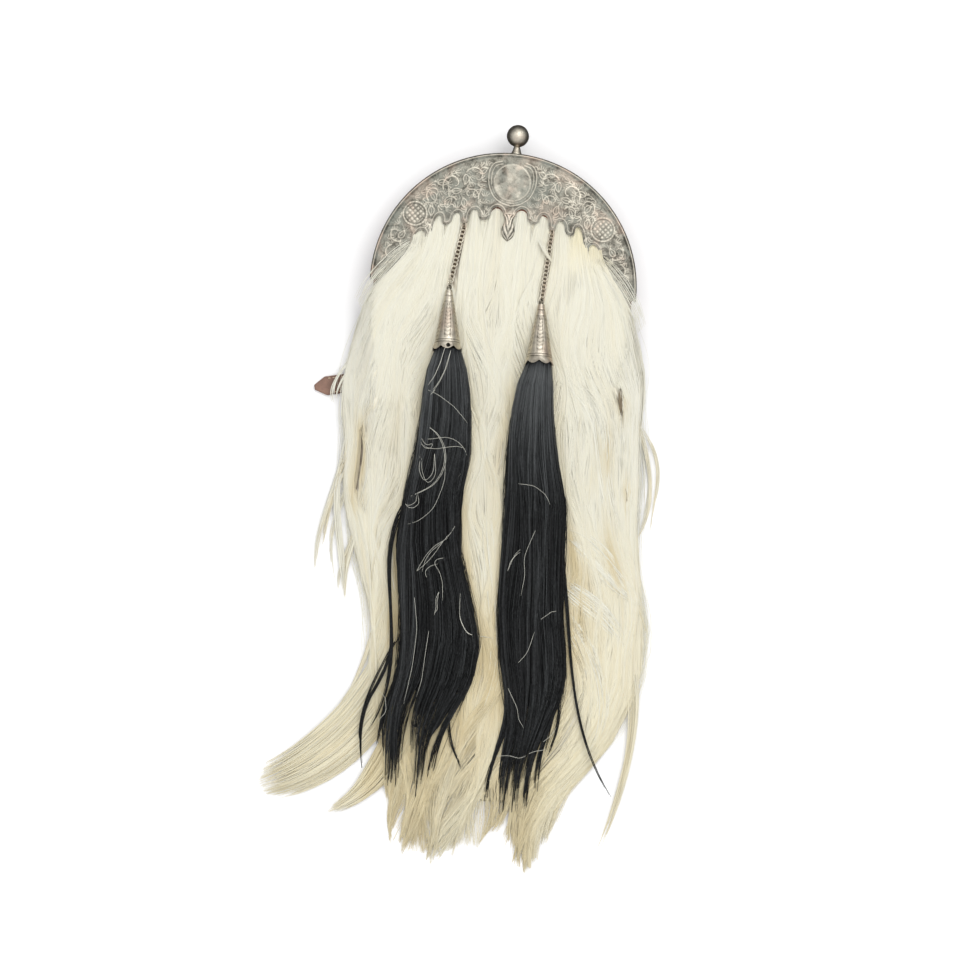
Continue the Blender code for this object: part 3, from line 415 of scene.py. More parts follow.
def surface_of(node, from_above=True):
    """A chart of the height of a CAD solid's top or underside, which falls away past its outline."""
    step = 2.0
    past = 14.0
    far_off = 200.0
    way = -1.0 if from_above else 1.0
    low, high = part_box(node)
    tree = BVHTree.FromObject(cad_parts[node], bpy.context.evaluated_depsgraph_get())
    x0 = (low.x - MIDDLE.x) / MM - past
    y0 = (low.y - MIDDLE.y) / MM - past
    columns = int(((high.x - low.x) / MM + 2 * past) / step) + 1
    rows = int(((high.y - low.y) / MM + 2 * past) / step) + 1
    grid = np.full((rows, columns), np.nan)
    for row in range(rows):
        for column in range(columns):
            place = Vector((x0 + column * step, y0 + row * step, -way * far_off))
            hit = tree.ray_cast(TO_FRAME @ place, Vector((0.0, 0.0, way)))[0]
            if hit is not None:
                grid[row, column] = hit.z / MM
    for _ in range(8):
        spread(grid)
    beyond = 1.5 if from_above else 0.0
    return Chart(x0, y0, (step, step), np.where(np.isnan(grid), beyond, grid))


def spread(grid):
    """Gives empty places beside the solid the height of their neighbours, a little lower."""
    rows, columns = grid.shape
    padded = np.pad(grid, 1, constant_values=np.nan)
    near = [padded[dy : dy + rows, dx : dx + columns] for dy in (0, 1, 2) for dx in (0, 1, 2)]
    total = sum(np.nan_to_num(part) for part in near)
    number = sum(~np.isnan(part) for part in near)
    empty = np.isnan(grid) & (number > 0)
    grid[empty] = total[empty] / number[empty] * 0.9


# --- Finishes ---------------------------------------------------------------------------------------------


def silver_finish(name, dark, light, grain, tarnish=0.6):
    """Old silver: dark in its cuts, worn bright on its high places, with clouds of tarnish and specks."""
    finish = Finish(name, Metallic=1.0)
    relief = finish.attribute("relief")
    high = relief.clear_of(0.10, 0.42)
    clouds = finish.noise(38.0, 5.0, roughness=0.62)
    patches = finish.noise(140.0, 4.0, roughness=0.6, distortion=0.8)
    specks = finish.noise(420.0, 4.0, roughness=0.65)
    blush = finish.noise(60.0, 4.0, distortion=0.6).clear_of(0.48, 0.66)
    worn = relief.clear_of(0.0, 0.42) * 0.62 + specks * 0.6 + patches.clear_of(0.36, 0.64) * 0.3 - 0.3
    body = finish.mixed(worn, dark, light)
    stain = (clouds * 0.5 + patches * 0.5).clear_of(0.42, 0.62) * tarnish * (1 - high * 0.75)
    grey = finish.mixed(stain, body, GREY_TARNISH)
    warm = finish.mixed(blush * (0.18 + high * 0.3), grey, PINK_TARNISH)
    pits = finish.noise(310.0, 3.0, roughness=0.75, distortion=0.5).clear_of(0.60, 0.74)
    finish.colour(finish.mixed(pits * (1 - high) * 0.6, warm, PIT_TARNISH))
    finish.rough(0.22 + clouds * 0.22 + specks * 0.12)
    cuts = finish.noise(grain, 3.0, roughness=0.7, distortion=1.6)
    finish.bump(cuts, 0.6, 0.3)
    return finish


def white_hair_finish(name):
    """Cream hair that turns to straw, with a golden painted shade where it lies deep. The shares are on the
    mesh.
    """
    finish = Finish(name, Roughness=0.5, Specular_IOR_Level=0.3)
    # depth is the share of painted shade: a golden tone where the hair would lie in shadow between locks.
    depth = finish.attribute("depth")
    straw = finish.attribute("straw")
    body = finish.mixed(straw + finish.noise(60.0, 3.0) * 0.2 - 0.1, CREAM, STRAW)
    shaded_body = finish.mixed(depth, body, PAINTED_SHADE_GOLD)
    finish.colour(finish.mixed(finish.attribute("brown"), shaded_body, HIDE_BROWN))
    return finish


def hair_bed_finish(name, cream, deep, brown):
    """The thick of the hair under the single hairs, with fine streaks down its flow between a lighter and a
    darker colour.
    """
    finish = Finish(name, Roughness=0.6, Specular_IOR_Level=0.25)
    across = finish.attribute("across")
    flow = finish.add("CombineXYZ", {}, {"X": across * 300.0, "Y": finish.attribute("down") * 4.0})
    streaks = finish.noise(1.0, 4.0, flow, 0.7)
    body = finish.mixed(streaks.clear_of(0.3, 0.7), deep, cream)
    finish.colour(finish.mixed(finish.attribute("brown"), body, brown))
    finish.bump(streaks, 0.6, 0.8)
    return finish


def black_hair_finish(name):
    """Black hair, each hair in its own tone, with painted sheen flecks along it."""
    finish = Finish(name, Roughness=0.32, Specular_IOR_Level=0.16)
    # The fine noise paints short flecks of sheen on the hair.
    tone = finish.attribute("tone") + finish.noise(650.0, 3.0, roughness=0.7) * 0.7 - 0.35
    finish.colour(finish.mixed(tone, tint(0.002, 0.0022, 0.0025), tint(0.105, 0.112, 0.115)))
    return finish


def leather_finish(name, dark, light, roughness):
    """Grained leather, worn lighter in patches."""
    finish = Finish(name, Specular_IOR_Level=0.4)
    cells = finish.add("TexVoronoi", {}, {"Vector": finish.place(), "Scale": 900.0})
    wear = finish.noise(35.0, 5.0, roughness=0.65)
    grain = cells * 0.7 + finish.noise(350.0, 4.0) * 0.5
    finish.colour(finish.mixed(wear.clear_of(0.3, 0.72) * 0.8 + grain * 0.25, dark, light))
    finish.rough(roughness + wear * 0.15)
    finish.bump(grain, 0.45, 0.25)
    return finish


def plain_finish(name, dark, light, roughness):
    """A matt stuff with a fine mottle."""
    finish = Finish(name, Roughness=roughness)
    finish.colour(finish.mixed(finish.noise(300.0, 2.0), dark, light))
    return finish


CREAM = tint(0.775, 0.765, 0.68)
STRAW = tint(0.825, 0.765, 0.56)
# A golden colour painted on the white hair for the shade between its locks.
PAINTED_SHADE_GOLD = tint(0.64, 0.55, 0.35)
HIDE_BROWN = tint(0.075, 0.038, 0.018)
GREY_TARNISH = tint(0.15, 0.165, 0.145)
PINK_TARNISH = tint(0.50, 0.37, 0.29)
PIT_TARNISH = tint(0.05, 0.045, 0.035)
FLOOR_WHITE = tint(0.965, 0.965, 0.97)
CANTLE_SILVER = silver_finish("cantle_silver", tint(0.06, 0.058, 0.048), tint(0.62, 0.575, 0.48), 620.0)
BORDER_SILVER = silver_finish("border_silver", tint(0.04, 0.038, 0.032), tint(0.42, 0.39, 0.33), 620.0, 0.75)
CONE_SILVER = silver_finish("cone_silver", tint(0.09, 0.075, 0.055), tint(0.70, 0.64, 0.53), 500.0, 0.25)
CHAIN_SILVER = silver_finish("chain_silver", tint(0.05, 0.044, 0.034), tint(0.86, 0.80, 0.67), 700.0, 0.2)
WHITE_HAIR = white_hair_finish("white_hair")
# The white bed's darker golden is partly hair streaks and partly painted shade for the thick of the hair
# beneath the single hairs.
WHITE_BED = hair_bed_finish("white_hair_bed", tint(0.82, 0.795, 0.69), tint(0.77, 0.705, 0.535), HIDE_BROWN)
BLACK_HAIR = black_hair_finish("black_hair")
BLACK_BED = hair_bed_finish(
    "black_hair_bed", tint(0.008, 0.008, 0.009), tint(0.003, 0.003, 0.003), tint(0.01, 0.01, 0.01)
)
POUCH_LEATHER = leather_finish("pouch_leather", tint(0.085, 0.033, 0.020), tint(0.26, 0.105, 0.058), 0.5)
STRAP_LEATHER = leather_finish("strap_leather", tint(0.082, 0.042, 0.028), tint(0.29, 0.165, 0.12), 0.42)
THREAD = plain_finish("stitch_thread", tint(0.43, 0.35, 0.24), tint(0.62, 0.50, 0.34), 0.8)


# --- Cantle -----------------------------------------------------------------------------------------------

CANTLE_RADIUS = 100.0
RIM_WALL = 1.2
RIM_BACK = 17.0
BORDER_WIDE = 3.2
BORDER_RISE = 0.12
PLATE_BACK = 29.8
PLATE_FRONT = 31.0
LEG_INNER_X = 72.0
FACE_RADIUS = CANTLE_RADIUS - BORDER_WIDE

EdgeStep = namedtuple("EdgeStep", "end_x end_y peak_y")
# The scalloped lower edge, from the left leg to the middle: arches, then the lobes between them.
EDGE_STEPS = [
    EdgeStep(-61.4, 32.6, 36.6),
    EdgeStep(-56.6, 37.6, 31.2),
    EdgeStep(-49.8, 44.8, 48.6),
    EdgeStep(-42.2, 47.0, 42.4),
    EdgeStep(-35.8, 48.8, 52.4),
    EdgeStep(-29.9, 49.6, 44.8),
    EdgeStep(-22.6, 51.4, 55.8),
    EdgeStep(-13.9, 53.0, 48.6),
    EdgeStep(-4.4, 52.6, 58.8),
]
EDGE_BEFORE = [(-LEG_INNER_X, LEG_END_Y), (-71.4, 14.0)]
EDGE_START = (-69.6, 28.6)
FACE_STEP = 0.40
EDGE_POINTS = 1300
RIM_STEPS = 260
GROUND_WEAR = 0.09

BOSS = (0.0, 77.7)
BOSS_RADIUS = 14.2
BOSS_RISE = 0.3
BOSS_WEAR = 0.14
BLOTCHES = 110
ROUNDELS = [(-70.5, 48.6), (70.5, 48.6)]
ROUNDEL_RADIUS = 8.8
ROUNDEL_HEAD = 7.0
RING_HALF = 0.7

Scroll = namedtuple("Scroll", "x y radius start sweep wide rise")
# Chased stems of the left half, which the right half mirrors. start and sweep are in degrees.
SCROLLS = [
    Scroll(-27.0, 80.0, 8.2, 20.0, 250.0, 0.6, 0.30),
    Scroll(-30.5, 66.0, 6.6, 200.0, -240.0, 0.6, 0.28),
    Scroll(-43.5, 73.0, 8.6, 330.0, 260.0, 0.65, 0.32),
    Scroll(-46.0, 58.5, 6.0, 150.0, -230.0, 0.6, 0.28),
    Scroll(-57.0, 64.5, 7.0, 310.0, 250.0, 0.6, 0.30),
    Scroll(-83.0, 33.0, 6.8, 240.0, 250.0, 0.6, 0.30),
    Scroll(-85.0, 17.5, 6.4, 80.0, -240.0, 0.6, 0.28),
    Scroll(-84.5, 3.8, 5.6, 90.0, 230.0, 0.6, 0.28),
]
ORNAMENT_RADIUS = 94.8
BIG_LEAF_GAP = 9.5
BIG_LEAF_ROOM = 4.8
BIG_LEAF_TRIES = 500
LEAF_GAP = 4.0
LEAF_TRIES = 5200
LEAF_STROKES = 4
STROKE_GAP = 0.8
STROKE_FAN = 0.42
STROKE_HALF = 0.46
# The strap of the cartouche round the boss, left side from its top.
CARTOUCHE = [
    (-9.0, 93.0), (-15.5, 91.5), (-18.2, 84.0), (-17.6, 75.0), (-13.8, 66.5), (-7.0, 61.6), (0.0, 60.2)
]
# The pendant leaf: half its width at these shares of its length.
PENDANT_TOP = 54.2
PENDANT_LONG = 20.4
PENDANT_DOWN = [0, 0.12, 0.26, 0.45, 0.62, 0.78, 0.9, 1.0]
PENDANT_HALF = [4.8, 3.4, 3.0, 4.4, 5.0, 4.4, 2.7, 0.15]
# How bright the border is worn: on its bead, on the wall behind it and on its flat.
BEAD_WEAR = 0.75
WALL_WEAR = 0.3
FLAT_WEAR = 0.03
LEAF_SEED = 5
BLOTCH_SEED = 14


def edge_outline():
    """The left half of the scalloped edge as a fine line, from the leg's foot to the pendant leaf."""
    points = [*EDGE_BEFORE, EDGE_START]
    start = EDGE_START
    steps = 14
    for step in EDGE_STEPS:
        middle_y = (start[1] + step.end_y) / 2
        for i in range(1, steps + 1):
            angle = math.pi * i / steps
            part = (1 - math.cos(angle)) / 2
            x = start[0] + (step.end_x - start[0]) * part
            y = start[1] + (step.end_y - start[1]) * part + (step.peak_y - middle_y) * math.sin(angle)
            points.append((x, y))
        start = (step.end_x, step.end_y)
    return np.array(points)


class Chasing:
    """The height of the chased face over a fine grid of places. Strokes raise it, and each is mirrored."""

    STEP = 0.25

    def __init__(self):
        across = np.arange(-FACE_RADIUS - 1, FACE_RADIUS + 1, self.STEP)
        up = np.arange(LEG_END_Y - 1, FACE_RADIUS + 1, self.STEP)
        self.x, self.y = np.meshgrid(across, up)
        self.height = np.zeros_like(self.x)

    def stroke(self, line, wide, rise, taper=0.55):
        """A rounded strip along a line and its mirror image, which narrows towards its end."""
        for side in (1, -1):
            mirrored = line * (side, 1)
            for i, (low, high) in enumerate(zip(mirrored, mirrored[1:])):
                self.piece(low, high, wide * (1.0 - taper * i / len(line)), rise)

    def piece(self, low, high, half, rise):
        """One straight stretch of a strip, half as wide as half says to either side."""
        first = (np.minimum(low, high) - half - (self.x[0, 0], self.y[0, 0])) / self.STEP
        last = (np.maximum(low, high) + half - (self.x[0, 0], self.y[0, 0])) / self.STEP
        first = np.maximum(first.astype(int), 0)
        last = np.maximum(last.astype(int) + 2, 0)
        box = (slice(first[1], last[1]), slice(first[0], last[0]))
        along = high - low
        share = (self.x[box] - low[0]) * along[0] + (self.y[box] - low[1]) * along[1]
        share = np.clip(share / (along @ along + 1e-9), 0, 1)
        apart = np.hypot(self.x[box] - low[0] - share * along[0], self.y[box] - low[1] - share * along[1])
        raised = rise * np.sqrt(np.clip(1 - (apart / half) ** 2, 0, 1))
        self.height[box] = np.maximum(self.height[box], raised)

    def chart(self):
        return Chart(self.x[0, 0], self.y[0, 0], (self.STEP, self.STEP), self.height)


def scroll_line(scroll):
    """A stem that winds inward."""
    turn = np.radians(scroll.start + np.linspace(0.0, scroll.sweep, 40))
    reach = scroll.radius * np.linspace(1.0, 0.16, 40) ** 0.9
    return joined(scroll.x - reach * np.cos(turn), scroll.y + reach * np.sin(turn))


def comma_line(x, y, turn, long, bend):
    """A small curved leaf stroke."""
    angle = turn + bend * np.linspace(-0.5, 0.5, 6)
    return joined(x + long * np.cumsum(np.cos(angle)) / 6, y + long * np.cumsum(np.sin(angle)) / 6)


def ring_height(apart, radius, half, rise):
    """The height of a raised ring at distances from its centre."""
    return rise * np.sqrt(np.clip(1 - ((apart - radius) / half) ** 2, 0, 1))


def free_place(x, y, placed, edge, margin):
    """Whether a leaf of the ground may stand at a place of the left half, clear of the pendant leaf."""
    if x > -3.0 and y < 60.0 or np.hypot(edge[:, 0] - x, edge[:, 1] - y).min() < margin:
        return False
    return all(math.hypot(x - qx, y - qy) >= apart for qx, qy, apart in placed)


def chase_big_leaf(chasing, x, y, lean, long, rng):
    """A leaf drawn by its two sides and its rib, smooth between them."""
    part = np.linspace(0.0, 1.0, 14)
    angle = lean + rng.choice([-1, 1]) * 0.9 * (part - 0.5)
    rib_x = x + long * (np.cumsum(np.cos(angle)) / 14 - 0.5 * math.cos(lean))
    rib_y = y + long * (np.cumsum(np.sin(angle)) / 14 - 0.5 * math.sin(lean))
    for side in (-1, 0, 1):
        off = side * 2.1 * np.sin(math.pi * part**0.8)
        line = joined(rib_x - np.sin(angle) * off, rib_y + np.cos(angle) * off)
        chasing.stroke(line, 0.42, 0.30 if side else 0.2, 0.3)


def chase_leaves(chasing, edge, rng):
    """Large leaves, and between them groups of short strokes that lean with their neighbours."""
    placed = [(*BOSS, BOSS_RADIUS + 7.0), (*ROUNDELS[0], ROUNDEL_RADIUS + 2.4)]
    large = []
    lean_along = drift(rng, 16, -2.6, 2.6)
    lean_out = drift(rng, 5, -1.4, 1.4)
    for i in range(BIG_LEAF_TRIES + LEAF_TRIES):
        big = i < BIG_LEAF_TRIES
        turn = rng.uniform(math.pi / 2, math.pi + 0.02)
        far = rng.uniform(36.0, ORNAMENT_RADIUS - (3.0 if big else 0.6))
        x = far * math.cos(turn)
        y = far * math.sin(turn)
        if not free_place(x, y, placed + large if big else placed, edge, 5.6 if big else 3.8):
            continue
        lean = turn + lean_along(2 * turn / math.pi - 1) + lean_out((far - 36.0) / 60.0)
        lean = lean + rng.normal(0, 0.5)
        if big:
            placed.append((x, y, BIG_LEAF_ROOM))
            large.append((x, y, BIG_LEAF_GAP))
            chase_big_leaf(chasing, x, y, lean, rng.uniform(7.0, 9.5), rng)
            continue
        placed.append((x, y, LEAF_GAP))
        long = rng.uniform(3.2, 5.6)
        bend = rng.choice([-1, 1]) * rng.uniform(0.3, 1.6)
        rise = rng.uniform(0.12, 0.34)
        for k in range(LEAF_STROKES):
            aside = k - (LEAF_STROKES - 1) / 2
            short = 1 - 0.12 * abs(k - 1)
            foot_x = x - math.sin(lean) * aside * STROKE_GAP - math.cos(lean) * long * short / 2
            foot_y = y + math.cos(lean) * aside * STROKE_GAP - math.sin(lean) * long * short / 2
            leaf = comma_line(foot_x, foot_y, lean + aside * STROKE_FAN, long * short, bend + aside * 0.5)
            chasing.stroke(leaf, STROKE_HALF * rng.uniform(0.75, 1.1), rise * rng.uniform(0.7, 1.1), 0.35)


def chased_face(edge):
    """The chart of the chased face above its plate."""
    chasing = Chasing()
    for scroll in SCROLLS:
        chasing.stroke(scroll_line(scroll), scroll.wide, scroll.rise)
    chase_leaves(chasing, edge, np.random.default_rng(LEAF_SEED))
    half = softened(evenly(np.array(CARTOUCHE), 50), 12)
    for grow, rise in ((1.0, 0.26), (0.88, 0.2)):
        line = joined(half[:, 0] * grow, BOSS[1] + (half[:, 1] - BOSS[1]) * grow)
        chasing.stroke(line, 0.42, rise, 0.0)
    x, y = chasing.x, chasing.y
    apart = np.hypot(x - BOSS[0], y - BOSS[1])
    dome = BOSS_RISE * (1 - 0.35 * (apart / BOSS_RADIUS) ** 2)
    boss = dome * smooth_step(-apart, -BOSS_RADIUS, -BOSS_RADIUS + 1.2)
    boss = boss * (apart < BOSS_RADIUS) + ring_height(apart, BOSS_RADIUS - 0.3, 0.45, 0.12)
    height = np.where(apart < BOSS_RADIUS + 1.0, boss, chasing.height)
    for place in ROUNDELS:
        dx = x - place[0]
        dy = y - place[1]
        apart = np.hypot(dx, dy)
        lattice = np.abs(np.sin((dx + dy) * 0.78)) * np.abs(np.sin((dx - dy) * 0.78))
        head = 0.02 + 0.30 * lattice**1.4
        beads = 1 + 0.3 * np.cos(24 * np.arctan2(dy, dx))
        ring = ring_height(apart, ROUNDEL_RADIUS, RING_HALF, 0.26) * beads
        within = np.where(apart < ROUNDEL_HEAD, head, ring)
        height = np.where(apart < ROUNDEL_RADIUS + RING_HALF, within, height)
    chasing.height = height
    chasing.stroke(drawn_in(edge, 1.9, False)[: len(edge) // 2 + 1 : 2], 0.4, 0.22, 0.0)
    chasing.height *= smooth_step(ORNAMENT_RADIUS - np.hypot(x, y), 0.0, 0.8)
    return chasing.chart()


def drawn_in(outline, inset, closed=True):
    """An outline moved to its left by inset."""
    if closed:
        along = np.roll(outline, -1, axis=0) - np.roll(outline, 1, axis=0)
    else:
        along = np.gradient(outline, axis=0)
    along /= np.linalg.norm(along, axis=1, keepdims=True)
    return outline + joined(-along[:, 1], along[:, 0]) * inset


def foot_of(edge, x):
    """The height at which the plate starts above each place across: its scalloped edge, or a leg's foot."""
    return np.where(np.abs(x) > LEG_INNER_X, LEG_END_Y, np.interp(-np.abs(x), edge[:, 0], edge[:, 1]))


def build_face():
    """The chased plate: an even grid cut to its outline, raised where it is chased, with a plain back."""
    left = edge_outline()
    edge = evenly(np.concatenate([left, left[::-1] * (-1, 1)]), EDGE_POINTS)
    outer = FACE_RADIUS + 0.6
    high = outer - LEG_END_Y
    bm = bmesh.new()
    columns = int(2 * outer / FACE_STEP)
    bmesh.ops.create_grid(bm, x_segments=columns, y_segments=int(high / FACE_STEP), size=1.0)
    bmesh.ops.scale(bm, vec=(outer, high / 2, 1.0), verts=bm.verts)
    bmesh.ops.translate(bm, vec=(0.0, LEG_END_Y + high / 2, 0.0), verts=bm.verts)
    faces = bm.faces[:]
    x, y, _ = np.array([face.calc_center_median() for face in faces]).T
    within = (np.hypot(x, y) < outer) & (y > foot_of(left, x))
    bmesh.ops.delete(bm, geom=[face for face, kept in zip(faces, within) if not kept], context="FACES")
    foot = math.asin(LEG_END_Y / outer)
    turn = np.linspace(foot, math.pi - foot, EDGE_POINTS)
    arc = outer * joined(np.cos(turn), np.sin(turn))
    outline = evenly(np.concatenate([edge, arc, edge[:1]]), 6 * EDGE_POINTS)
    near = KDTree(len(outline))
    for i, place in enumerate(outline):
        near.insert((*place, 0.0), i)
    near.balance()
    for vert in bm.verts:
        if vert.is_boundary:
            vert.co = near.find(vert.co)[0]
    x, y, _ = axes_of(bm.verts)
    for vert, raised in zip(bm.verts, chased_face(edge)(x, y)):
        vert.co.z = PLATE_FRONT + (0.0 if vert.is_boundary else raised)
    border = [rim_edge for rim_edge in bm.edges if rim_edge.is_boundary]
    made = bmesh.ops.extrude_edge_only(bm, edges=border)["geom"]
    for part in made:
        if isinstance(part, bmesh.types.BMVert):
            part.co.z = PLATE_BACK
    bmesh.ops.holes_fill(bm, edges=[part for part in made if isinstance(part, bmesh.types.BMEdge)], sides=0)
    mesh = mesh_of(bm, "cantle_chased")
    x, y, z = axes_of(mesh.vertices)
    on_boss = np.hypot(x - BOSS[0], y - BOSS[1]) < BOSS_RADIUS - 1.0
    worn = np.where(on_boss, BOSS_WEAR + boss_blotches(x, y), z - PLATE_FRONT + GROUND_WEAR)
    set_relief(mesh, np.clip(worn, 0.0, 1.0))
    return mesh


def boss_blotches(x, y):
    """The stains of the boss, brighter and darker, at places."""
    rng = np.random.default_rng(BLOTCH_SEED)
    blotches = 0.003 * (y - BOSS[1] - x)
    for _ in range(BLOTCHES):
        spot_x, spot_y = rng.uniform(-BOSS_RADIUS, BOSS_RADIUS, 2) + BOSS
        spot = ((x - spot_x) ** 2 + (y - spot_y) ** 2) / rng.uniform(0.7, 3.6) ** 2
        blotches = blotches + rng.uniform(-0.14, 0.17) * np.exp(-spot)
    return blotches


def build_rim():
    """The flat border with its bright bead, and the wall behind it, spun through the half circle."""
    top = PLATE_FRONT + BORDER_RISE
    outer = CANTLE_RADIUS
    profile = [
        (FACE_RADIUS, PLATE_BACK),
        (FACE_RADIUS, top - 0.1),
        (FACE_RADIUS + 0.2, top),
        (outer - 1.9, top),
        (outer - 1.7, top + 0.25),
        (outer - 0.9, top + 0.25),
        (outer - 0.7, top - 0.15),
        (outer, top - 0.6),
        (outer, RIM_BACK + 0.3),
        (outer - 0.3, RIM_BACK),
        (outer - RIM_WALL + 0.2, RIM_BACK),
        (outer - RIM_WALL, RIM_BACK + 0.3),
        (outer - RIM_WALL, PLATE_BACK),
    ]
    foot = math.asin(LEG_END_Y / outer)
    bm = bmesh.new()
    line, edges = profile_line(bm, profile, closed=True)
    bmesh.ops.rotate(bm, cent=(0, 0, 0), matrix=Matrix.Rotation(foot, 3, "Z"), verts=line)
    spin(bm, line + edges, RIM_STEPS, math.pi - 2 * foot)
    close_holes(bm)
    mesh = mesh_of(bm, "cantle_rim")
    x, y, z = axes_of(mesh.vertices)
    inward = outer - np.hypot(x, y)
    on_bead = (inward > 0.8) & (inward < 1.8) & (z > top)
    set_relief(mesh, np.where(on_bead, BEAD_WEAR, np.where(inward < 0.1, WALL_WEAR, FLAT_WEAR)))
    return mesh


def build_pendant():
    """The small engraved leaf that hangs in the middle of the scalloped edge."""
    across = np.linspace(-1.0, 1.0, 25)
    down = np.linspace(0.0, 1.0, 41)[:, None]
    x = across * np.interp(down, PENDANT_DOWN, PENDANT_HALF)
    y = PENDANT_TOP - PENDANT_LONG * down
    vein = 0.25 * np.abs(np.sin(9 * down + 5 * np.abs(across)))
    swell = np.sqrt(1 - across**2) * (0.55 + 0.45 * np.sin(math.pi * down))
    top = joined(x, y, PLATE_FRONT + 0.9 * swell + vein)
    bottom = joined(x * 0.96, y, PLATE_BACK)[:, ::-1]
    worn = np.concatenate([vein * 2.0 - 0.12, np.zeros_like(x)], axis=1)
    return woven("pendant_leaf", np.concatenate([top, bottom], axis=1), around=True, ends=True, relief=worn)


# --- Chains, cones and tassels ----------------------------------------------------------------------------

WIRE = 0.5
# The wire rings of the solids, which the finer rings here lie in: their sides and how far they overlap.
LINK_SIDES = 10
WIRE_SIDES = 5
LINK_OVERLAP = 0.12
RING_GAP = 0.4
EYE_RADIUS = 1.95
EYE_STEPS = 24
LINK_STEPS = 20
WIRE_STEPS = 8
LINK_LEAN = math.radians(30)
CHAIN_LIFT = 1.5
CHAIN_WEAR = 0.36
EYE_WEAR = 0.5
CONE_LONG = 46.5
CONE_TOP_RADIUS = 2.4
CONE_RIM_RADIUS = 10.7
CONE_WALL = 0.8
CONE_LOBES = 7
LOBE_DEEP = 2.4
CONE_BAND = 5.0
CONE_ROWS = 74
CONE_LEAVES = 5
CONE_WEAR = 0.58
# The lines cut round a cone: how far from its top and how deep.
CONE_CUTS = [(4.4, 0.24), (9.2, 0.24), (CONE_LONG - 7.4, 0.28), (CONE_LONG - 5.6, 0.28)]
HOLE = (-36.8, -48.0)
HOLE_RADIUS = 1.5

# The height of the white hair above the ground, at places down its middle.
CROWN = [
    (43.0, 29.2), (33.0, 30.6), (14.0, 32.6), (-4.6, 33.2), (-60.0, 33.4), (-97.0, 32.4), (-127.0, 26.0),
    (-160.0, 19.5), (-200.0, 15.5), (-245.0, 13.0), (-300.0, 11.0), (-345.0, 9.0), (-388.0, 6.0),
    (-430.0, 3.0),
]


def crown_height(y):
    down, crown = np.array(CROWN).T
    return np.interp(-y, -down, crown)


# Where each chain's eye is, each cone's top and the middle of its rim, its links and its lobes' turn.
Side = namedtuple("Side", "eye_x eye_y apex_x apex_y apex_z rim_x rim_y rim_z links lobe_turn")
SIDES = {
    "left": Side(-32.85, 43.4, -40.0, -6.6, 35.42, -37.4, -52.1, 43.5, 15, -45.0),
    "right": Side(32.85, 43.4, 29.6, -11.4, 35.45, 31.6, -56.9, 43.5, 17, 45.0),
}


class Hanging:
    """Where one tassel's eye, chain and cone lie."""

    def __init__(self, side):
        self.eye = Vector((side.eye_x, side.eye_y, (PLATE_BACK + PLATE_FRONT) / 2))
        self.apex = Vector((side.apex_x, side.apex_y, side.apex_z))
        self.along = (Vector((side.rim_x, side.rim_y, side.rim_z)) - self.apex).normalized()
        self.side = self.along.cross(Vector((0, 0, 1))).normalized()
        self.up = self.side.cross(self.along)
        self.cone_eye = self.apex - self.along * (EYE_RADIUS - 0.1)
        self.links = side.links
        self.lobe_turn = math.radians(side.lobe_turn)
        # The cone is made along +Z from its apex, with +Y upwards as it lies.
        self.place = Matrix((self.side, self.up, self.along)).transposed().to_4x4()
        self.place.translation = self.apex


def chain_line(hanging):
    """The line of a chain from its eye to its cone's, over the hair."""
    line = [hanging.eye.lerp(hanging.cone_eye, i / 7) for i in range(8)]
    for point in line[1:-1]:
        point.z = max(point.z, float(crown_height(point.y)) + CHAIN_LIFT)
    return line


def point_on(line, distance):
    """The place on a line so far from its start."""
    for low, high in zip(line, line[1:]):
        step = (high - low).length
        if distance <= step:
            break
        distance -= step
    return low.lerp(high, distance / step)


def add_ring(bm, centre, axis, along, radius, steps):
    """A ring of round wire, spun from a circle."""
    place = Matrix((along, axis.cross(along).normalized(), axis)).transposed().to_4x4()
    place.translation = centre
    before = set(bm.verts)
    circle = bmesh.ops.create_circle(bm, segments=WIRE_STEPS, radius=WIRE)["verts"]
    stand = Matrix.Translation((radius, 0.0, 0.0)) @ Matrix.Rotation(math.radians(90), 4, "X")
    bmesh.ops.transform(bm, matrix=stand, verts=circle)
    spin(bm, circle + list({edge for vert in circle for edge in vert.link_edges}), steps)
    bmesh.ops.transform(bm, matrix=place, verts=[vert for vert in bm.verts if vert not in before])


def build_eyes(name, hangings):
    """The two eyes in the plate's edge from which the chains hang."""
    bm = bmesh.new()
    for hanging in hangings:
        axis = Vector((-1.0, 0.0, 1.0)).normalized()
        add_ring(bm, hanging.eye, axis, Vector((0.0, 1.0, 0.0)), EYE_RADIUS, EYE_STEPS)
    mesh = mesh_of(bm, name)
    set_relief(mesh, EYE_WEAR)
    return mesh


def build_chain(name, hanging):
    """Interlocked round links, which lean to either side by turns."""
    line = chain_line(hanging)
    length = sum((high - low).length for low, high in zip(line, line[1:]))
    wire_flat = WIRE * math.cos(math.pi / WIRE_SIDES)
    ring_flat = math.cos(math.pi / LINK_SIDES)
    play = (EYE_RADIUS - wire_flat) * ring_flat - WIRE - RING_GAP
    spans = hanging.links - 1
    linked_long = length - 2 * play + spans * (2 * ring_flat * wire_flat - LINK_OVERLAP)
    radius = linked_long / (2 + spans * 2 * ring_flat)
    pitch = 2 * ring_flat * (radius - wire_flat) + LINK_OVERLAP
    bm = bmesh.new()
    for i in range(hanging.links):
        distance = radius + play + pitch * i
        along = (point_on(line, distance + 1.0) - point_on(line, distance - 1.0)).normalized()
        side = along.cross(Vector((0, 0, 1))).normalized()
        lean = LINK_LEAN if i % 2 else -LINK_LEAN
        axis = (side.cross(along) * math.cos(lean) + side * math.sin(lean)).normalized()
        add_ring(bm, point_on(line, distance), axis, along, radius, LINK_STEPS)
    mesh = mesh_of(bm, name)
    set_relief(mesh, CHAIN_WEAR)
    return mesh


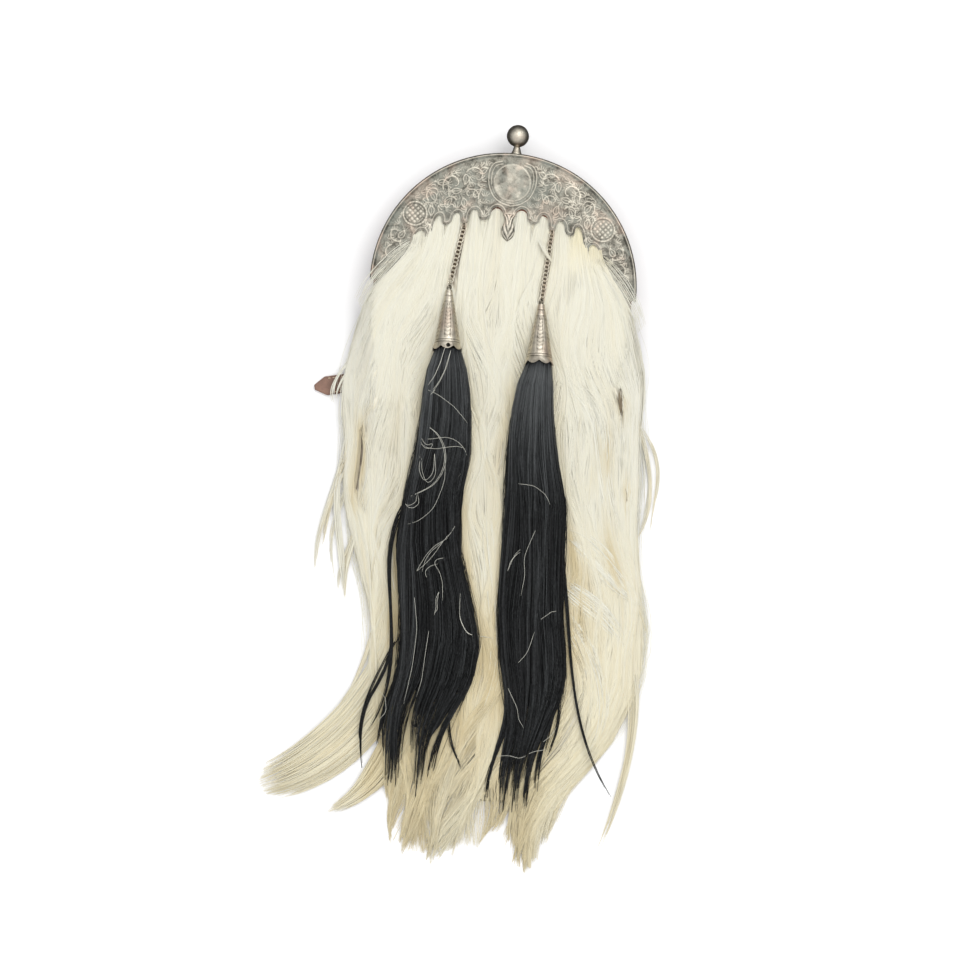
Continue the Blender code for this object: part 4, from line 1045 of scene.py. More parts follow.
def build_cone(name, hanging, hole):
    """A spun cone with cut lines, engraved leaves, a scalloped rim and an eye at its top."""
    slope = (CONE_RIM_RADIUS - CONE_TOP_RADIUS) / CONE_LONG
    reach = np.linspace(0.0, CONE_LONG, CONE_ROWS)[:, None]
    groove = sum(-deep * np.exp(-(((reach - line) / 0.45) ** 2)) for line, deep in CONE_CUTS)
    swell = 0.25 * smooth_step(reach, CONE_LONG - 2.2, CONE_LONG)
    steps = CONE_LOBES * 14
    turn = np.arange(steps) * 2 * math.pi / steps
    notch = 1 - np.abs(np.sin(turn * CONE_LOBES / 2 + hanging.lobe_turn))
    far = reach - LOBE_DEEP * notch * smooth_step(reach, CONE_LONG - CONE_BAND - 1.0, CONE_LONG)
    # Long leaves stand round the cone, each with an outline and veins, between plain polished panels.
    within = (reach > 10.2) & (reach < CONE_LONG - 8.4)
    swing = CONE_LEAVES * (turn - math.pi / 2)
    petal = np.cos(swing) - 0.45 + 0.65 * np.sin(math.pi * (reach - 8.0) / 31.0)
    veins = np.sin(reach * 2.1 + 5.0 * np.abs(np.sin(swing / 2)))
    chased = within * smooth_step(petal, 0.0, 0.25)
    outline = within * np.exp(-((petal / 0.22) ** 2))
    leaf = chased * (0.55 + 0.45 * veins) - outline
    wide = CONE_TOP_RADIUS + slope * reach + groove + swell + 0.12 * leaf
    outer = joined(wide * np.cos(turn), wide * np.sin(turn), far)
    inner = outer[::-6][:-1].copy()
    reached = np.hypot(inner[..., 0], inner[..., 1])
    inner[..., :2] *= ((reached - CONE_WALL) / reached)[..., None]
    worn = CONE_WEAR + 2.4 * groove - 0.42 * chased * (0.5 + 0.5 * veins) - 0.42 * outline
    worn = np.concatenate([worn, np.full((len(inner), steps), 0.1)])
    mesh = woven(name, np.concatenate([outer, inner]), around=True, ends=True, relief=worn)
    mesh.transform(hanging.place)
    if hole:
        bm = bmesh.new()
        bmesh.ops.create_cone(
            bm, cap_ends=True, segments=24, radius1=HOLE_RADIUS, radius2=HOLE_RADIUS, depth=10.0
        )
        bmesh.ops.translate(bm, vec=(*hole, hanging.apex.z + 18.0), verts=bm.verts)
        mesh = cut(name, mesh, mesh_of(bm, "punch"))
    bm = bmesh.new()
    bm.from_mesh(mesh)
    bpy.data.meshes.remove(mesh)
    tilt = Matrix.Rotation(math.radians(45), 3, hanging.along)
    add_ring(bm, hanging.cone_eye, tilt @ hanging.up, hanging.along.copy(), EYE_RADIUS, EYE_STEPS)
    return mesh_of(bm, name)


Lock = namedtuple("Lock", "x0 y0 x1 y1 x2 y2 x3 y3 wide0 wide1 wide2 wide3 hairs")
# Each tassel at heights from its top down: the height, its left edge, its right edge and its thickness.
TASSEL_ROWS = {
    "left": [
        (-52.0, -46.0, -27.6, 17.0), (-60.0, -49.6, -23.2, 18.5), (-75.0, -52.0, -19.2, 16.5),
        (-97.0, -52.4, -15.8, 14.5), (-127.0, -53.6, -15.0, 12.5), (-160.0, -59.0, -20.0, 11.5),
        (-200.0, -60.5, -16.0, 11.0), (-245.0, -55.0, -1.0, 10.0), (-269.0, -53.5, 4.7, 9.7),
        (-299.0, -54.5, 1.2, 9.0), (-320.0, -61.0, -5.0, 8.2), (-341.0, -64.0, -11.6, 7.5),
        (-373.0, -66.0, -20.0, 5.0), (-390.0, -68.0, -26.0, 4.0),
    ],
    "right": [
        (-56.0, 22.8, 40.6, 17.0), (-64.0, 18.6, 42.4, 18.0), (-75.0, 16.8, 43.6, 16.5),
        (-97.0, 14.6, 45.6, 14.5), (-127.0, 14.6, 50.0, 12.5), (-160.0, 16.4, 60.0, 11.5),
        (-200.0, 18.4, 63.6, 11.0), (-245.0, 18.8, 65.0, 10.0), (-280.0, 22.5, 70.4, 9.5),
        (-300.0, 27.0, 71.0, 9.0), (-330.0, 34.5, 66.5, 8.0), (-400.0, 26.0, 52.0, 4.0),
    ],
}
TASSEL_TOP = {side: rows[0][0] for side, rows in TASSEL_ROWS.items()}
# Where the black hair ends: the share of the tassel up to which it runs to each tip, the tip's place
# and half its width.
TASSEL_TIPS = {
    "left": [
        (0.10, -65.0, -366.0, 1.5), (0.22, -58.0, -374.0, 2.5), (0.45, -50.7, -386.0, 4.0),
        (0.66, -34.0, -390.0, 4.5), (0.76, -30.0, -376.0, 2.0), (0.88, -21.0, -378.0, 2.5),
        (1.00, -18.5, -350.0, 1.5),
    ],
    "right": [
        (0.14, 20.8, -386.0, 1.5), (0.40, 33.2, -399.0, 3.5), (0.62, 41.0, -394.0, 4.5),
        (0.80, 49.5, -392.0, 4.0), (0.92, 58.5, -382.0, 2.0), (1.00, 63.0, -362.0, 1.5),
    ],
}
# Black locks that leave the tassels.
LOOSE_BLACK = {
    "left": [
        Lock(-52, -160, -67, -214, -60, -280, -76.0, -347, 6, 2.4, 2.0, 1.0, 22),
        Lock(-60, -270, -68, -305, -77, -330, -73.6, -373, 4, 2.2, 1.6, 0.8, 16),
        Lock(-52, -262, -68, -296, -78, -330, -76.5, -352, 3, 1.4, 1.2, 0.6, 8),
        Lock(-14, -318, -10, -342, -5, -354, 2.5, -370, 4, 1.6, 1.2, 0.5, 7),
    ],
    "right": [
        Lock(57, -180, 70, -243, 84, -312, 115.5, -377, 6, 1.8, 1.5, 0.8, 20),
        Lock(34, -300, 30, -334, 23, -360, 20.8, -386, 6, 2.6, 1.8, 1.0, 16),
        Lock(66, -290, 70, -316, 68, -336, 64.0, -350, 4, 1.8, 1.2, 0.5, 7),
    ],
}
REST_GAP = -0.5
BLACK_HAIRS = 790
BLACK_CLUMPS = 64
BLACK_RINGS = 18
BLACK_THICK = (0.24, 0.42)
FLY_AWAYS = 90
FLY_THICK = 0.16
# Black hairs that don't lie in a tassel are this bright.
LOOSE_TONE = 0.12
# How much greyer a tassel's hair is below its cone.
GREY_TOP = {"left": 0.28, "right": 0.50}
BED_SKIN = 1.1
BED_END_Y = -336.0


def tassel_size(side, y):
    """The left edge, the right edge and the thickness of a tassel at heights."""
    heights, *sizes = np.array(TASSEL_ROWS[side]).T
    return [np.interp(-y, -heights, size) for size in sizes]


def tassel_paths(side, rng):
    """Paths of hairs round a tassel, gathered in clumps that close to the tips, and a tone for each."""
    column = (BLACK_HAIRS, 1)
    tip_to, tip_x, tip_y, tip_half = np.array(TASSEL_TIPS[side]).T
    tip_from = np.concatenate([[0.0], tip_to[:-1]])
    clump = rng.integers(0, BLACK_CLUMPS, column)
    middle = middles(rng, BLACK_CLUMPS, 0.2, 0.8)[clump]
    aside = rng.normal(0, 1.0, column)
    long = rng.uniform(0.88, 1.0, BLACK_CLUMPS)[clump] * (1 - rng.random(column) ** 2 * 0.12)
    tip = np.minimum(np.searchsorted(tip_to, middle), len(tip_to) - 1)
    start = TASSEL_TOP[side] + 2.0
    end = start + (tip_y[tip] - start) * long
    part = np.linspace(0.0, 1.0, BLACK_RINGS)
    y = start + (end - start) * part
    share = np.clip(middle + aside * 0.011 * (1 - 0.5 * smooth_step(-y, 120.0, 330.0)), 0.0, 1.0)
    left, right, thick = tassel_size(side, y)
    around = (share * 1.36 - 0.18) * math.pi
    lift = np.sin(around)
    x = (left + right) / 2 - (right - left) / 2 * np.cos(around)
    local = (middle - tip_from[tip]) / (tip_to - tip_from)[tip] - 0.5
    to_tip = smooth_step(-y, 292.0, np.maximum(-tip_y[tip], 300.0))
    x = x * (1 - to_tip) + (tip_x[tip] + 2 * local * tip_half[tip] + aside * 0.25) * to_tip
    wave = drift(rng, 9, 0.0, 2 * math.pi)
    x += 1.3 * np.sin(y / 23.0 + wave(share)) * smooth_step(-y, 70.0, 130.0)
    x += rng.normal(0, 0.6, column) * np.sin(math.pi * part)
    deep = rng.uniform(-1.2, 0.5, BLACK_CLUMPS)[clump] + rng.uniform(-0.5, 0.3, column)
    base = crown_height(y) + REST_GAP
    z = base + thick / 2 + thick / 2 * lift * np.where(lift < 0, 0.82, 1.0) + deep
    flat = smooth_step(-y, 300.0, 380.0)
    z = z * (1 - flat) + (base + 1.6 + 1.4 * np.abs(lift)) * flat
    tone = rng.beta(0.8, 1.9, BLACK_CLUMPS)[clump] * 0.45 + rng.beta(0.7, 1.9, column) * 0.7
    # Painted sheen: streaks of lighter tone along each hair.
    sheen_streak = np.sin(part * rng.uniform(12, 30, column) + rng.uniform(0, 6, column))
    tone = tone * (0.75 + 0.5 * sheen_streak) * (1 - 0.35 * smooth_step(-y, 90.0, 190.0))
    return joined(x, y, z), tone + GREY_TOP[side] * (1 - smooth_step(-y, 60.0, 170.0))


def fly_away_paths(side, rng):
    """Thin hairs that stand a little off both edges of a tassel."""
    column = (FLY_AWAYS, 1)
    part = np.linspace(0.0, 1.0, BLACK_RINGS)
    start = rng.uniform(-250.0, -70.0, column)
    end = np.maximum(start - rng.uniform(50.0, 140.0, column), -392.0)
    y = start + (end - start) * part
    left, right, thick = tassel_size(side, y)
    at_left = rng.random(column) < 0.5
    off = rng.uniform(0.5, 4.0, column) * np.sin(part * math.pi * rng.uniform(0.7, 1.3, column))
    off = np.abs(off) - 1.2
    x = np.where(at_left, left - off, right + off)
    z = crown_height(y) + thick * 0.35 + rng.uniform(-1.0, 1.5, column)
    return joined(x, y, z)


def lock_paths(lock, rings, rng, top, lift, layers):
    """Paths of hairs that follow a lock's line and close towards its tip.

    They lie lift above the top that is given, some of them deeper by up to layers.
    """
    column = (lock.hairs, 1)
    place = rng.uniform(-1.0, 1.0, column)
    reach = 1 - rng.random(column) ** 1.4 * 0.3 - 0.07 * place**2
    begin = 0.22 * rng.random(column)
    part = begin + (reach - begin) * np.linspace(0.0, 1.0, rings)
    x = smooth_through(lock[0:8:2], part)
    y = smooth_through(lock[1:8:2], part)
    half = smooth_through(lock[8:12], part) / 2
    dx = np.gradient(x, axis=1)
    dy = np.gradient(y, axis=1)
    long = np.hypot(dx, dy) + 1e-9
    waver = rng.normal(0, 0.35, column) * np.sin(part * 7 + rng.uniform(0, 6, column))
    offset = place * np.maximum(half, 0.2) + waver
    x = x - dy / long * offset
    y = y + dx / long * offset
    z = top(x, y) + lift + rng.uniform(-layers, 0.5, column)
    return joined(x, y, np.maximum(z, 0.6))


def build_tassel_hairs(name, side, seed):
    """A tassel's single hairs, its thin fly-aways and the locks that leave it."""
    rng = np.random.default_rng(seed)
    paths, tone = tassel_paths(side, rng)
    groups = [paths, fly_away_paths(side, rng)]
    for lock in LOOSE_BLACK[side]:
        groups.append(lock_paths(lock, BLACK_RINGS, rng, lambda x, y: crown_height(y), 2.0, 0.9))
    paths = np.concatenate(groups)
    count = len(paths)
    size = rng.uniform(*BLACK_THICK, (count, 1))
    size[BLACK_HAIRS : BLACK_HAIRS + FLY_AWAYS] = FLY_THICK
    thick = size * (1 - 0.6 * smooth_step(np.linspace(0, 1, BLACK_RINGS), 0.75, 1.0))
    tones = np.concatenate([tone, np.full((count - len(tone), BLACK_RINGS), LOOSE_TONE)])
    return hairs(name, paths, thick, tone=tones)


def build_tassel_bed(name, side):
    """The thick of a tassel under its single hairs, which ends well above the tips."""
    y = np.linspace(TASSEL_TOP[side] + 1.0, BED_END_Y, 44)[:, None]
    left, right, thick = tassel_size(side, y)
    close = 1 - 0.93 * smooth_step(-y, 262.0, -BED_END_Y)
    turn = np.arange(40) * 2 * math.pi / 40
    x = (left + right) / 2 + ((right - left) / 2 - BED_SKIN) * close * np.cos(turn)
    z = crown_height(y) + REST_GAP + thick / 2 * close + (thick / 2 - BED_SKIN) * close * np.sin(turn)
    across = 0.12 * np.cos(turn)
    return woven(name, joined(x, y, z), around=True, ends=True, across=across, down=-y / 60.0, brown=0.0)


# --- White hair -------------------------------------------------------------------------------------------

# Where the hair comes out of the left half's arches, from left to right, and how wide each tuft is.
# The right half mirrors them.
LEFT_TUFTS = [
    (-65.4, 33.6, 8.4), (-53.2, 46.4, 7.0), (-39.0, 50.4, 6.8), (-26.3, 53.8, 7.6), (-9.2, 56.6, 9.8),
]
TUFTS = LEFT_TUFTS + [(-x, y, wide) for x, y, wide in reversed(LEFT_TUFTS)]
TUFT_X, TUFT_Y, TUFT_WIDE = np.array(TUFTS).T
TUFT_SHARES = (np.arange(len(TUFTS)) + 0.5) / len(TUFTS)
# Below this height above the rim's centre every hair lies on its guides.
GATHER_Y = 12.0
# Neighbouring tufts touch this far below their arches.
TUFT_REACH = 20.0
TUCKED_Z = 28.5
LEAST_Z = 0.8

# Guide hairs: how far across each one lies at these heights. The first and the last are the outer edges,
# and between them stands one for each tuft.
GUIDE_Y = (20, -15, -50, -85, -120, -160, -200, -245, -290, -335, -380, -425)
GUIDES = [
    (-73, -103, -111, -113, -112, -107, -97, -80, -76, -72, -58, -50),
    (-68, -91, -105, -109, -105, -103, -94, -78, -73, -69, -55, -47),
    (-56, -70, -82, -97, -94, -92, -89, -75, -70, -65, -52, -47),
    (-42, -49, -54, -60, -61, -65, -72, -68, -62, -55, -44, -42),
    (-28, -29, -21, -13, -8, -5, -2, 8, 10, -4, -20, -31),
    (-9, -11, -4, 5, 8, 10, 13, 19, 22, 11, -6, -18),
    (9, 5, 6, 13, 16, 18, 21, 27, 31, 24, 9, -5),
    (25, 20, 18, 23, 29, 34, 38, 44, 48, 42, 26, 10),
    (41, 43, 49, 56, 64, 71, 76, 90, 98, 92, 59, 44),
    (58, 60, 58, 72, 80, 88, 102, 117, 118, 103, 68, 53),
    (68, 88, 95, 105, 112, 114, 115, 127, 126, 109, 77, 62),
    (75, 103, 111, 113, 115, 116, 118, 131, 129, 113, 83, 70),
]
GUIDE_SHARES = (0.0, *TUFT_SHARES, 1.0)
# How far down the hair of each share reaches.
END_SHARES = (0.0, 0.05, 0.12, 0.2, 0.35, 0.5, 0.62, 0.68, 0.74, 0.85, 0.92, 1.0)
END_Y = (-322, -352, -386, -420, -430, -434, -428, -406, -430, -436, -426, -404)

# Locks that leave the outline or end apart from the others.
FOOT_LOCKS = [
    Lock(-107, -116, -113, -155, -121, -190, -122.8, -226, 5, 4.5, 3, 1.2, 14),
    Lock(-104, -130, -112, -158, -117, -182, -119, -206, 4, 4, 3, 1.5, 10),
    Lock(-101, -145, -109, -176, -113, -202, -107, -234, 4, 3, 2.5, 1, 10),
    Lock(-86, -150, -95, -190, -100, -220, -98.5, -246, 9, 5.5, 3.5, 1, 16),
    Lock(-90, -170, -98, -200, -104, -222, -103, -241, 4, 3, 2, 0.8, 8),
    Lock(-74, -190, -78, -208, -80, -224, -81.5, -240, 8, 5, 3, 0.8, 20),
    Lock(-66, -235, -75, -268, -83, -298, -95.4, -322, 8, 4, 2, 0.6, 16),
    Lock(-50, -262, -69, -318, -104, -362, -152, -391, 30, 38, 38, 26, 300),
    Lock(-40, -318, -55, -358, -72, -386, -98, -406, 20, 22, 15, 5, 110),
    Lock(106, -252, 125, -300, 123, -362, 106.5, -423, 18, 9, 5, 2.2, 32),
    Lock(92, -165, 108, -196, 121, -226, 132.5, -253, 18, 13, 8, 1.2, 50),
    Lock(103, -82, 118.5, -114, 124.5, -150, 116.4, -181, 5, 3.2, 2.6, 1.2, 18),
    Lock(108, -90, 127, -119, 129, -148, 128, -176, 3, 1.6, 1.2, 0.8, 7),
    Lock(98, -286, 96, -322, 84, -350, 66, -384, 26, 22, 16, 5, 60),
]
# Curved bright locks that lie over the others.
SWEEPS = [
    Lock(52, -66, 79, -95, 87, -132, 108, -183, 14, 17, 15, 7, 44),
    Lock(64, -180, 84, -191, 104, -210, 130, -231, 12, 19, 18, 5, 50),
    Lock(61, -216, 80, -229, 97, -241, 118, -264, 9, 16, 15, 4, 40),
    Lock(66, -240, 86, -268, 100, -304, 92, -350, 10, 18, 17, 6, 44),
    Lock(4, -170, 14, -222, 22, -276, 6, -336, 8, 14, 14, 7, 34),
    Lock(-101.5, -97, -94, -122, -90, -142, -94, -173, 2.5, 3.5, 3.5, 1.5, 14),
    Lock(-108.6, -149, -110.8, -174, -104.7, -210, -100.8, -238, 3, 4.5, 4.5, 1, 20),
    Lock(-109, -64, -115, -75, -119.5, -86, -118, -99, 6, 7, 6, 4, 14),
]
Gold = namedtuple("Gold", "x y wide long lean share")
# Painted shade: where the hair is painted a deeper gold between the locks, for the shade that lies there.
# lean is in degrees.
GOLD_SHADES = [
    Gold(89, -118, 3.5, 17, 4, 0.6),
    Gold(101, -200, 5, 20, 16, 0.9),
    Gold(69, -196, 4, 15, 10, 0.9),
    Gold(75, -211, 7, 16, 30, 0.7),
    Gold(82, -125, 3, 14, -6, 0.4),
    Gold(80, -246, 6, 16, 24, 0.75),
    Gold(74, -262, 6, 30, 14, 0.6),
    Gold(14, -290, 9, 42, 12, 0.75),
    Gold(2, -345, 10, 30, 20, 0.6),
    Gold(-61, -213, 5, 26, 4, 0.8),
    Gold(-60, -262, 6, 30, 6, 0.8),
    Gold(-15, -172, 3.5, 30, 4, 0.5),
    Gold(-8, -216, 4, 26, 10, 0.5),
    Gold(10, -110, 4, 40, -8, 0.3),
    Gold(-72, -120, 4, 30, -6, 0.3),
]
# Brown hairs of the hide that show in the partings.
BROWN_LOCKS = [
    Lock(-101.0, -97, -98.6, -124, -98.6, -148, -100.6, -178, 2, 4, 4, 2, 22),
    Lock(93.6, -68, 94.6, -74, 95.6, -81, 96.8, -89, 1.2, 2.8, 2.4, 0.8, 16),
    Lock(105.8, -139, 106.4, -145, 107.0, -150, 107.4, -156, 0.6, 1.3, 1.1, 0.5, 6),
]
# The strands that cross the right chain.
CHAIN_STRANDS = Lock(22.5, 38.0, 26.5, 32.5, 30.5, 26.5, 36.0, 19.0, 1.6, 2.4, 2.0, 1.2, 16)
HAIR_COUNT = 3060
HAIR_RINGS = 24
HAIR_THICK = (0.24, 0.41)
HAIR_FLAT = 0.62
# Above this angle in degrees the sides of a white hair stay flat.
HAIR_CRISP = 50.0
CLUMPS = 230
BIG_LOCKS = 44
LOCK_RINGS = 14
EDGE_HAIRS = 130
TIP_HAIRS = 1000
TIP_RINGS = 8
TIP_CLUMPS = 70
LEG_HAIRS = 34
# Where the loose hairs over the cantle's left leg run, and how far out the outermost lie from there.
# The right leg has the same, mirrored.
LEG_RUN = np.array([(-67.0, 29.0), (-80.0, 12.0), (-93.0, -6.0), (-104.0, -26.0)])
LEG_SPREAD = np.array([(-2.0, 3.0), (-6.0, 7.0), (-6.5, 8.0), (-5.0, 8.0)])

Slit = namedtuple("Slit", "x0 y0 x1 y1 x2 y2 x3 y3 half brown tan")
# Where the hair parts: the hide shows at the left and in two spots, and the chains lie in two grooves, which
# are painted dark brown for their shade. The last value is the share of painted tan shade along a slit's
# edges.
SLITS = [
    Slit(-100.3, -98.0, -96.0, -128.0, -97.0, -150.0, -99.0, -176.0, 2.3, 0.8, 1.0),
    Slit(95.4, -69.5, 95.5, -75.0, 95.9, -80.5, 96.2, -87.0, 2.2, 0.9, 1.0),
    Slit(106.4, -140.0, 106.8, -145.0, 107.1, -149.5, 107.4, -155.0, 1.3, 0.9, 1.0),
    Slit(-31.5, 50.0, -34.5, 30.0, -37.5, 12.0, -40.5, -12.0, 2.6, 0.9, 0.15),
    Slit(33.0, 50.0, 32.0, 30.0, 31.0, 10.0, 29.6, -14.0, 2.4, 0.8, 0.3),
]


def make_flow():
    """The chart of the guide hairs: how far across a hair of each share lies at each height."""
    step = 4.0
    heights = np.arange(GUIDE_Y[-1] - 16.0, GUIDE_Y[0] + 0.1, step)
    shares = np.linspace(0.0, 1.0, 201)
    guides = [softened(np.interp(heights, GUIDE_Y[::-1], line[::-1]), 12) for line in GUIDES]
    grid = np.stack([np.interp(shares, GUIDE_SHARES, row) for row in np.array(guides).T])
    return Chart(0.0, heights[0], (shares[1], step), softened(grid.T, 30).T)


FLOW = make_flow()


def slit_line(slit):
    """The middle of a slit as a fine line, its places across and up."""
    part = np.linspace(0.0, 1.0, 16)
    return smooth_through(slit[0:8:2], part), smooth_through(slit[1:8:2], part)


def beside_slit(slit, x, y):
    """How far right of a slit's middle a place lies, and how wide the slit is at its height."""
    line_x, line_y = slit_line(slit)
    part = np.clip((slit.y0 - y) / (slit.y0 - slit.y3), 0.0, 1.0)
    return x - np.interp(-y, -line_y, line_x), slit.half * np.sin(math.pi * part) ** 0.6


def parted(x, y):
    """Hairs moved out of the slits, each to the side on which it lies at the slit's middle."""
    moved = x
    for slit in SLITS:
        apart, half = beside_slit(slit, x, y)
        near = np.abs(y - (slit.y0 + slit.y3) / 2).argmin(axis=1)[:, None]
        side = np.where(np.take_along_axis(apart, near, axis=1) < 0, -1.0, 1.0)
        out = np.maximum(apart * side, 0.0)
        pushed = (out + half * np.exp(-((out / 7.0) ** 2))) * side
        moved = moved + (pushed - apart) * smooth_step(half, 0.0, 1.0)
    return moved


def painted_gold_shade(x, y):
    """How much painted golden shade lies between the locks at places."""
    share = np.zeros_like(x)
    for gold in GOLD_SHADES:
        turn = math.radians(gold.lean)
        across = (x - gold.x) * math.cos(turn) + (y - gold.y) * math.sin(turn)
        down = (y - gold.y) * math.cos(turn) - (x - gold.x) * math.sin(turn)
        shape = np.exp(-((across / gold.wide) ** 2) - (down / gold.long) ** 2)
        share = np.maximum(share, gold.share * shape)
    return share


def hide_and_groove_shade(x, y):
    """Where the brown hide shows through the partings, and the painted dark shade of the grooves that the
    chains lie in.
    """
    share = np.zeros_like(x)
    for slit in SLITS:
        apart, half = beside_slit(slit, x, y)
        inside = (1 - smooth_step(np.abs(apart), half * 0.7 + 0.01, half * 1.9 + 0.02)) * (half > 0.05)
        share = np.maximum(share, inside * slit.brown)
    return share


def slit_shade(x, y):
    """Painted shade: the tan edges beside a slit, where the parted hair lies in shadow."""
    shade = np.zeros_like(x)
    for slit in SLITS:
        apart, half = beside_slit(slit, x, y)
        near = np.exp(-np.maximum(np.abs(apart) - half, 0.0) / 2.2) * smooth_step(half, 0.1, 1.0)
        shade = np.maximum(shade, near * slit.tan)
    return shade


def shade_by_tassels(x, y):
    """Painted shade: a warm straw edge on the white hair beside each black tassel."""
    shade_share = np.zeros_like(x)
    for side in SIDES:
        left, right, _ = tassel_size(side, y)
        apart = np.maximum(np.maximum(left - x, x - right), 0.0)
        shade_share = np.maximum(shade_share, np.exp(-((apart / 7.0) ** 2)) * smooth_step(-y, 10.0, 90.0))
    return shade_share


def straw_share(x, y):
    """How far the hair has turned to straw downwards and in the right tufts, with a painted warm shade
    beside the tassels.
    """
    tinted_tufts = 0.7 * smooth_step(x, 42.0, 52.0) * smooth_step(y, 14.0, 34.0)
    return 0.05 + 0.55 * smooth_step(-y, 120.0, 400.0) + 0.35 * shade_by_tassels(x, y) + tinted_tufts


def sway(rng):
    """How far hairs sway sideways on their way down, the same for neighbours."""
    slow = drift(rng, 13, 0.0, 6.0)
    deep = drift(rng, 11, 2.5, 7.5)
    fast = drift(rng, 19, 0.0, 8.0)

    def at(share, y):
        wave = deep(share) * np.sin(-y / 19.0 + slow(share)) + 2.8 * np.sin(-y / 11.5 + fast(share))
        return wave * smooth_step(-y, -40.0, 30.0) * (0.3 + 0.7 * np.sin(math.pi * share))

    return at


def hair_x(share, tuft, y, waves):
    """How far across a hair lies at a height: out of its arch in a tuft, then along its guides."""
    centre = TUFT_SHARES[tuft]
    fall = np.clip((TUFT_Y[tuft] - y) / (TUFT_Y[tuft] - GATHER_Y), 0.0, 1.0)
    reached = np.clip((TUFT_Y[tuft] - y) / TUFT_REACH, 0.0, 1.0)
    full = FLOW(centre + 0.05, GUIDE_Y[0]) - FLOW(centre - 0.05, GUIDE_Y[0])
    narrow = np.minimum(TUFT_WIDE[tuft] / full, 1.0)
    gather = narrow + (1 - narrow) * reached**0.7
    steer = smooth_step(fall, -0.15, 1.0)
    middle = FLOW(centre, y)
    x = TUFT_X[tuft] * (1 - steer) + middle * steer + (FLOW(share, y) - middle) * gather
    return x + waves(share, y)


def hair_ends(own, clump, lock, lock_own, rng):
    """The height at which each long hair ends. Some clumps at both edges end early, as wisps."""
    end = np.interp(own, END_SHARES, END_Y) + rng.uniform(-5, 5, BIG_LOCKS)[lock]
    end += rng.uniform(-3, 9, CLUMPS)[clump] + 10 * np.abs(own - lock_own) * BIG_LOCKS
    end += 60 * rng.random(own.shape) ** 4
    wisps = np.where(own < 0.14, -rng.uniform(190, 300, CLUMPS)[clump], end)
    wisps = np.where(own > 0.93, -rng.uniform(240, 360, CLUMPS)[clump], wisps)
    return np.where(rng.random(CLUMPS)[clump] < 0.5, wisps, end)


def white_hair_paths(top, waves, rng):
    """Long hairs of the front, in clumps and locks that close downwards, with the share of painted shade in
    their colour.
    """
    column = (HAIR_COUNT, 1)
    clump = rng.integers(0, CLUMPS, column)
    middle = middles(rng, CLUMPS, 0.1, 0.9)
    lock_middle = middles(rng, BIG_LOCKS, 0.25, 0.75)
    lock = np.abs(middle[:, None] - lock_middle).argmin(axis=1)[clump]
    own = middle[clump]
    lock_own = lock_middle[lock]
    place = rng.normal(0, 1.0, column)
    end = hair_ends(own, clump, lock, lock_own, rng)
    tuft = np.clip((own * len(TUFTS)).astype(int), 0, len(TUFTS) - 1)
    start = TUFT_Y[tuft] + rng.uniform(3.5, 7.0, column)
    part = np.linspace(0.0, 1.0, HAIR_RINGS) ** 1.12
    y = start + (end - start) * part
    low = smooth_step(part, 0.35, 1.0)
    share = own + place * (1.5 - 0.9 * low) / CLUMPS + (lock_own - own) * 0.28 * low**2
    wander = rng.normal(0, 1.0, CLUMPS)[clump] * np.sin(part * rng.uniform(3, 7, CLUMPS)[clump])
    loose = rng.normal(0, 1.0, column) * np.sin(part * rng.uniform(3, 9, column))
    share = share + wander * (0.002 + 0.008 * low) + loose * (0.003 + 0.006 * low)
    share = np.clip(share, 0.001, 0.999)
    x = parted(hair_x(share, tuft, y, waves), y)
    wave = drift(rng, 26, -1.2, 1.2)(share) * (0.3 + 0.7 * low) + drift(rng, 90, -0.5, 0.5)(share)
    layer = rng.uniform(-0.7, 0.4, CLUMPS)[clump] * (0.15 + 0.85 * low) + rng.uniform(-0.35, 0.2, column)
    out = smooth_step(TUFT_Y[tuft] - y, -2.0, 8.0)
    z = TUCKED_Z + (top(x, y) + 0.7 + wave + layer - TUCKED_Z) * out
    edge = np.minimum(share, 1 - share)
    hem = smooth_step(-edge, -0.03, 0.0) * rng.uniform(0.0, 0.7, column) * smooth_step(-y, 20.0, 60.0)
    z = np.maximum(z * (1 - hem), over_pouch(x, y))
    # Painted shade: broad bands across the hair that follow its waves, stronger lower down, and the golden
    # shade between the locks.
    broad = drift(rng, 34, 0.0, 1.0)(share)
    swing = np.sin(-y / 37.0 + drift(rng, 30, 0.0, 9.0)(share))
    painted_shade_bands = 0.5 * broad * (0.6 + 0.4 * swing) + 0.5 * drift(rng, 120, 0.0, 1.0)(share)
    depth = (painted_shade_bands + rng.normal(0, 0.12, column)) * (0.19 + 0.33 * smooth_step(-y, 40.0, 330.0))
    return joined(x, y, z), depth + painted_gold_shade(x, y)


def over_pouch(x, y):
    """The least height of the hair, which lies on the pouch and beside it on the ground."""
    on_pouch = smooth_step(y, -8.0, 6.0) * smooth_step(-np.abs(x), -97.0, -90.0)
    return LEAST_Z + (TUCKED_Z - LEAST_Z) * on_pouch


